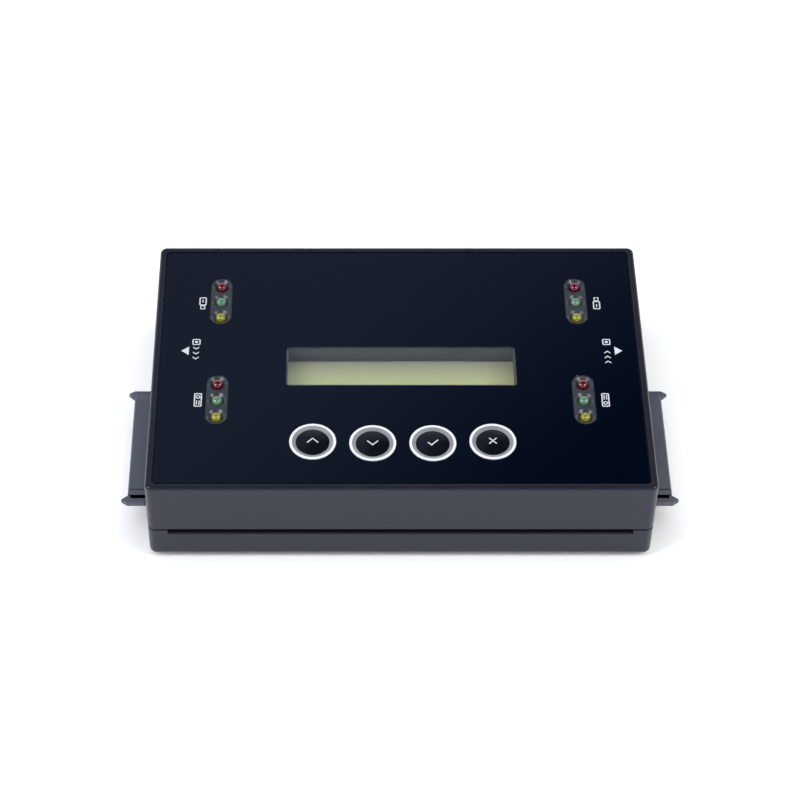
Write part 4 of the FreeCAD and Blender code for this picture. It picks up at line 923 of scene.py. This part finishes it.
class DressFasteners(bpy.types.Operator):
    """Finishes the screws and the rubber feet"""
    bl_idname = "duplicator.dress_fasteners"
    bl_label = "Dress fasteners and feet"

    def execute(self, context):
        # Zinc over cold-headed steel: a cool grey metal, duller than nickel.
        dress(finish_of("Zinc-plated steel", linear("#A9AAA6"), 0.3, grain_mm=0.2, edge_mm=0.06,
                        Metallic=1.0),
              "case_screws", "main_board_screws", "key_board_screws", "display_screws")
        # Die-cut rubber: matt and nearly black, with a fine even grain.
        dress(finish_of("Die-cut rubber", linear("#17171A"), 0.75, grain_mm=0.3, depth_mm=0.02),
              "rubber_feet")
        return {"FINISHED"}


class DressInside(bpy.types.Operator):
    """Finishes the boards and the parts on them"""
    bl_idname = "duplicator.dress_inside"
    bl_label = "Dress inner parts"

    def execute(self, context):
        # Solder mask over woven glass: deep green, a little cloudy, with a soft gloss.
        dress(finish_of("Glass laminate, green mask", linear("#1C5A32"), 0.35, grain_mm=0.6,
                        change=0.12), "main_board", "key_board", "display_board")
        # Mineral-filled epoxy: nearly black and matt.
        dress(finish_of("Moulded epoxy", linear("#1B1B1D"), 0.5, grain_mm=0.15),
              "controller_chips", "memory_chip")
        # Deep-drawn cans: pale metal with a soft shine.
        dress(finish_of("Drawn aluminium", linear("#B8B9BA"), 0.3, grain_mm=0.3, Metallic=1.0),
              "capacitors", "crystals")
        # Ferrite, pressed and fired: dark grey and dull as slate.
        dress(finish_of("Pressed ferrite", linear("#3A3A3D"), 0.6, grain_mm=0.3), "coils")
        # Nylon straight from the mould: black, with faint soft highlights.
        black = finish_of("Black nylon", linear("#121214"), 0.5, grain_mm=0.3)
        dress(black, "display_link_header", "display_link_socket", "key_link_header",
              "key_link_socket", "lamp_holders")
        for index in KEYS:
            dress(black, f"key_switch_{index}", f"key_plunger_{index}")
        return {"FINISHED"}


class BuildStage(bpy.types.Operator):
    """Sets the pale floor, the studio lights, the world and the camera"""
    bl_idname = "duplicator.build_stage"
    bl_label = "Build stage"

    def execute(self, context):
        own = context.scene.duplicator_stage
        build_floor()
        build_world(own)
        for side in (-1, 1):
            x, y, z = SOFTBOX_PLACE
            softbox(f"softbox_{side}", (side * x, y, z), own.box_size, own.box_power)
        top = softbox("top_light", TOP_LIGHT_PLACE, TOP_LIGHT_SIZE, own.top_power)
        top.visible_glossy = False
        camera = bpy.data.objects.new("camera", bpy.data.cameras.new("camera"))
        context.scene.collection.objects.link(camera)
        camera.location = CAMERA_PLACE
        camera.rotation_euler = (math.radians(CAMERA_TILT), 0, 0)
        camera.data.lens = own.lens
        camera.data.shift_x = CAMERA_SHIFT
        camera.data.clip_start = 0.01
        context.scene.camera = camera
        context.scene.view_settings.view_transform = "Standard"
        return {"FINISHED"}


def build_floor():
    """A wide pale floor, lifted to white where it is looked at or mirrored."""
    mesh = bpy.data.meshes.new("floor")
    far = FLOOR_REACH
    mesh.from_pydata([(-far, -far, 0), (far, -far, 0), (far, far, 0), (-far, far, 0)], [],
                     [(0, 1, 2, 3)])
    floor = bpy.data.objects.new("floor", mesh)
    bpy.context.scene.collection.objects.link(floor)
    material, tree = new_material("White studio floor")
    path = add(tree, "LightPath").outputs
    seen = path["Is Camera Ray"]
    for ray in ("Is Glossy Ray", "Is Transmission Ray"):
        seen = add(tree, "Math", {0: seen, 1: path[ray]}, operation="MAXIMUM").outputs[0]
    lift = add(tree, "Math", {0: seen, 1: FLOOR_GLOW}, operation="MULTIPLY")
    glow = add(tree, "Emission", {"Strength": lift.outputs[0]})
    matt = add(tree, "BsdfDiffuse", {"Color": (0.97, 0.97, 0.97, 1)})
    near = add(tree, "AddShader", {0: matt.outputs[0], 1: glow.outputs[0]})
    # Away from the object the floor is simply white, so it has no dim far edge.
    place = add(tree, "TexCoord")
    reach = add(tree, "VectorMath", {0: place.outputs["Object"]}, operation="LENGTH")
    share = add(tree, "MapRange", {"Value": reach.outputs["Value"], "From Min": FLOOR_FADE[0],
                                   "From Max": FLOOR_FADE[1], "To Max": seen},
                interpolation_type="SMOOTHSTEP")
    white = add(tree, "Emission")
    whole = add(tree, "MixShader", {0: share.outputs["Result"], 1: near.outputs[0],
                                    2: white.outputs[0]})
    # One-sided, so that the object's underside can be looked at.
    facing = add(tree, "NewGeometry")
    clear = add(tree, "BsdfTransparent")
    one_sided = add(tree, "MixShader", {0: facing.outputs["Backfacing"],
                                        1: whole.outputs[0], 2: clear.outputs[0]})
    add(tree, "OutputMaterial", {"Surface": one_sided.outputs[0]})
    mesh.materials.append(material)


def build_world(own):
    """White to the camera; for the object, a pale horizon under a dim, one-sided ceiling."""
    world = bpy.data.worlds.new("studio")
    bpy.context.scene.world = world
    tree = emptied(world)
    place = add(tree, "TexCoord")
    # The ceiling dims along one slanting direction, from the far left to the near right.
    slant = add(tree, "VectorMath", {0: place.outputs["Generated"], 1: CEILING_SLANT},
                operation="DOT_PRODUCT")
    dim = add(tree, "MapRange", {"Value": slant.outputs["Value"], "From Min": CEILING_EDGE[0],
                                 "From Max": CEILING_EDGE[1], "To Min": 1.0, "To Max": 0.0},
              interpolation_type="SMOOTHSTEP")
    ceiling = add(tree, "Mix", {"Factor": dim.outputs["Result"], "A": (0, 0, 0, 1),
                                "B": rgba(own.ceiling)}, data_type="RGBA")
    axes = add(tree, "SeparateXYZ", {"Vector": place.outputs["Generated"]})
    height = add(tree, "MapRange", {"Value": axes.outputs[2], "From Min": HORIZON_FADE[0],
                                    "From Max": HORIZON_FADE[1], "To Min": 1.0, "To Max": 0.0},
                 interpolation_type="SMOOTHSTEP")
    white = [own.horizon] * 3 + [1.0]
    sky = add(tree, "Mix", {"Factor": height.outputs["Result"], "A": ceiling.outputs["Result"],
                            "B": white}, data_type="RGBA")
    path = add(tree, "LightPath")
    seen = add(tree, "Mix", {"Factor": path.outputs["Is Camera Ray"], "A": sky.outputs["Result"],
                             "B": (1, 1, 1, 1)}, data_type="RGBA")
    back = add(tree, "Background", {"Color": seen.outputs["Result"]})
    add(tree, "OutputWorld", {"Surface": back.outputs[0]})


def softbox(name, place, size, power):
    """A square lamp that faces the object."""
    lamp = bpy.data.lights.new(name, "AREA")
    lamp.energy = power
    lamp.size = size
    made = bpy.data.objects.new(name, lamp)
    made.location = place
    made.rotation_euler = (-made.location).to_track_quat("-Z", "Y").to_euler()
    bpy.context.scene.collection.objects.link(made)
    return made


OPERATORS = (DressCase, BuildPanel, BuildKeys, BuildLamps, PrintMarks, DressDisplay, DressSockets,
             DressSwitch, DressFasteners, DressInside, BuildStage)


class DUPLICATOR_PT_panel(bpy.types.Panel):
    """Lists the steps that dress the duplicator"""
    bl_label = "Drive duplicator"
    bl_idname = "DUPLICATOR_PT_panel"
    bl_space_type = "VIEW_3D"
    bl_region_type = "UI"
    bl_category = "Duplicator"

    def draw(self, context):
        for operator in OPERATORS:
            self.layout.operator(operator.bl_idname)
        for name, group in SETTINGS.items():
            box = self.layout.box()
            for prop in group.__annotations__:
                box.prop(getattr(context.scene, name), prop)


def register():
    for group in SETTINGS.values():
        bpy.utils.register_class(group)
    for name, group in SETTINGS.items():
        setattr(bpy.types.Scene, name, PointerProperty(type=group))
    for operator in OPERATORS:
        bpy.utils.register_class(operator)
    bpy.utils.register_class(DUPLICATOR_PT_panel)


def unregister():
    bpy.utils.unregister_class(DUPLICATOR_PT_panel)
    for operator in reversed(OPERATORS):
        bpy.utils.unregister_class(operator)
    for name in SETTINGS:
        delattr(bpy.types.Scene, name)
    for group in SETTINGS.values():
        bpy.utils.unregister_class(group)


def main():
    register()
    for operator in OPERATORS:
        group, step = operator.bl_idname.split(".")
        getattr(getattr(bpy.ops, group), step)()


if __name__ == "__main__":
    main()
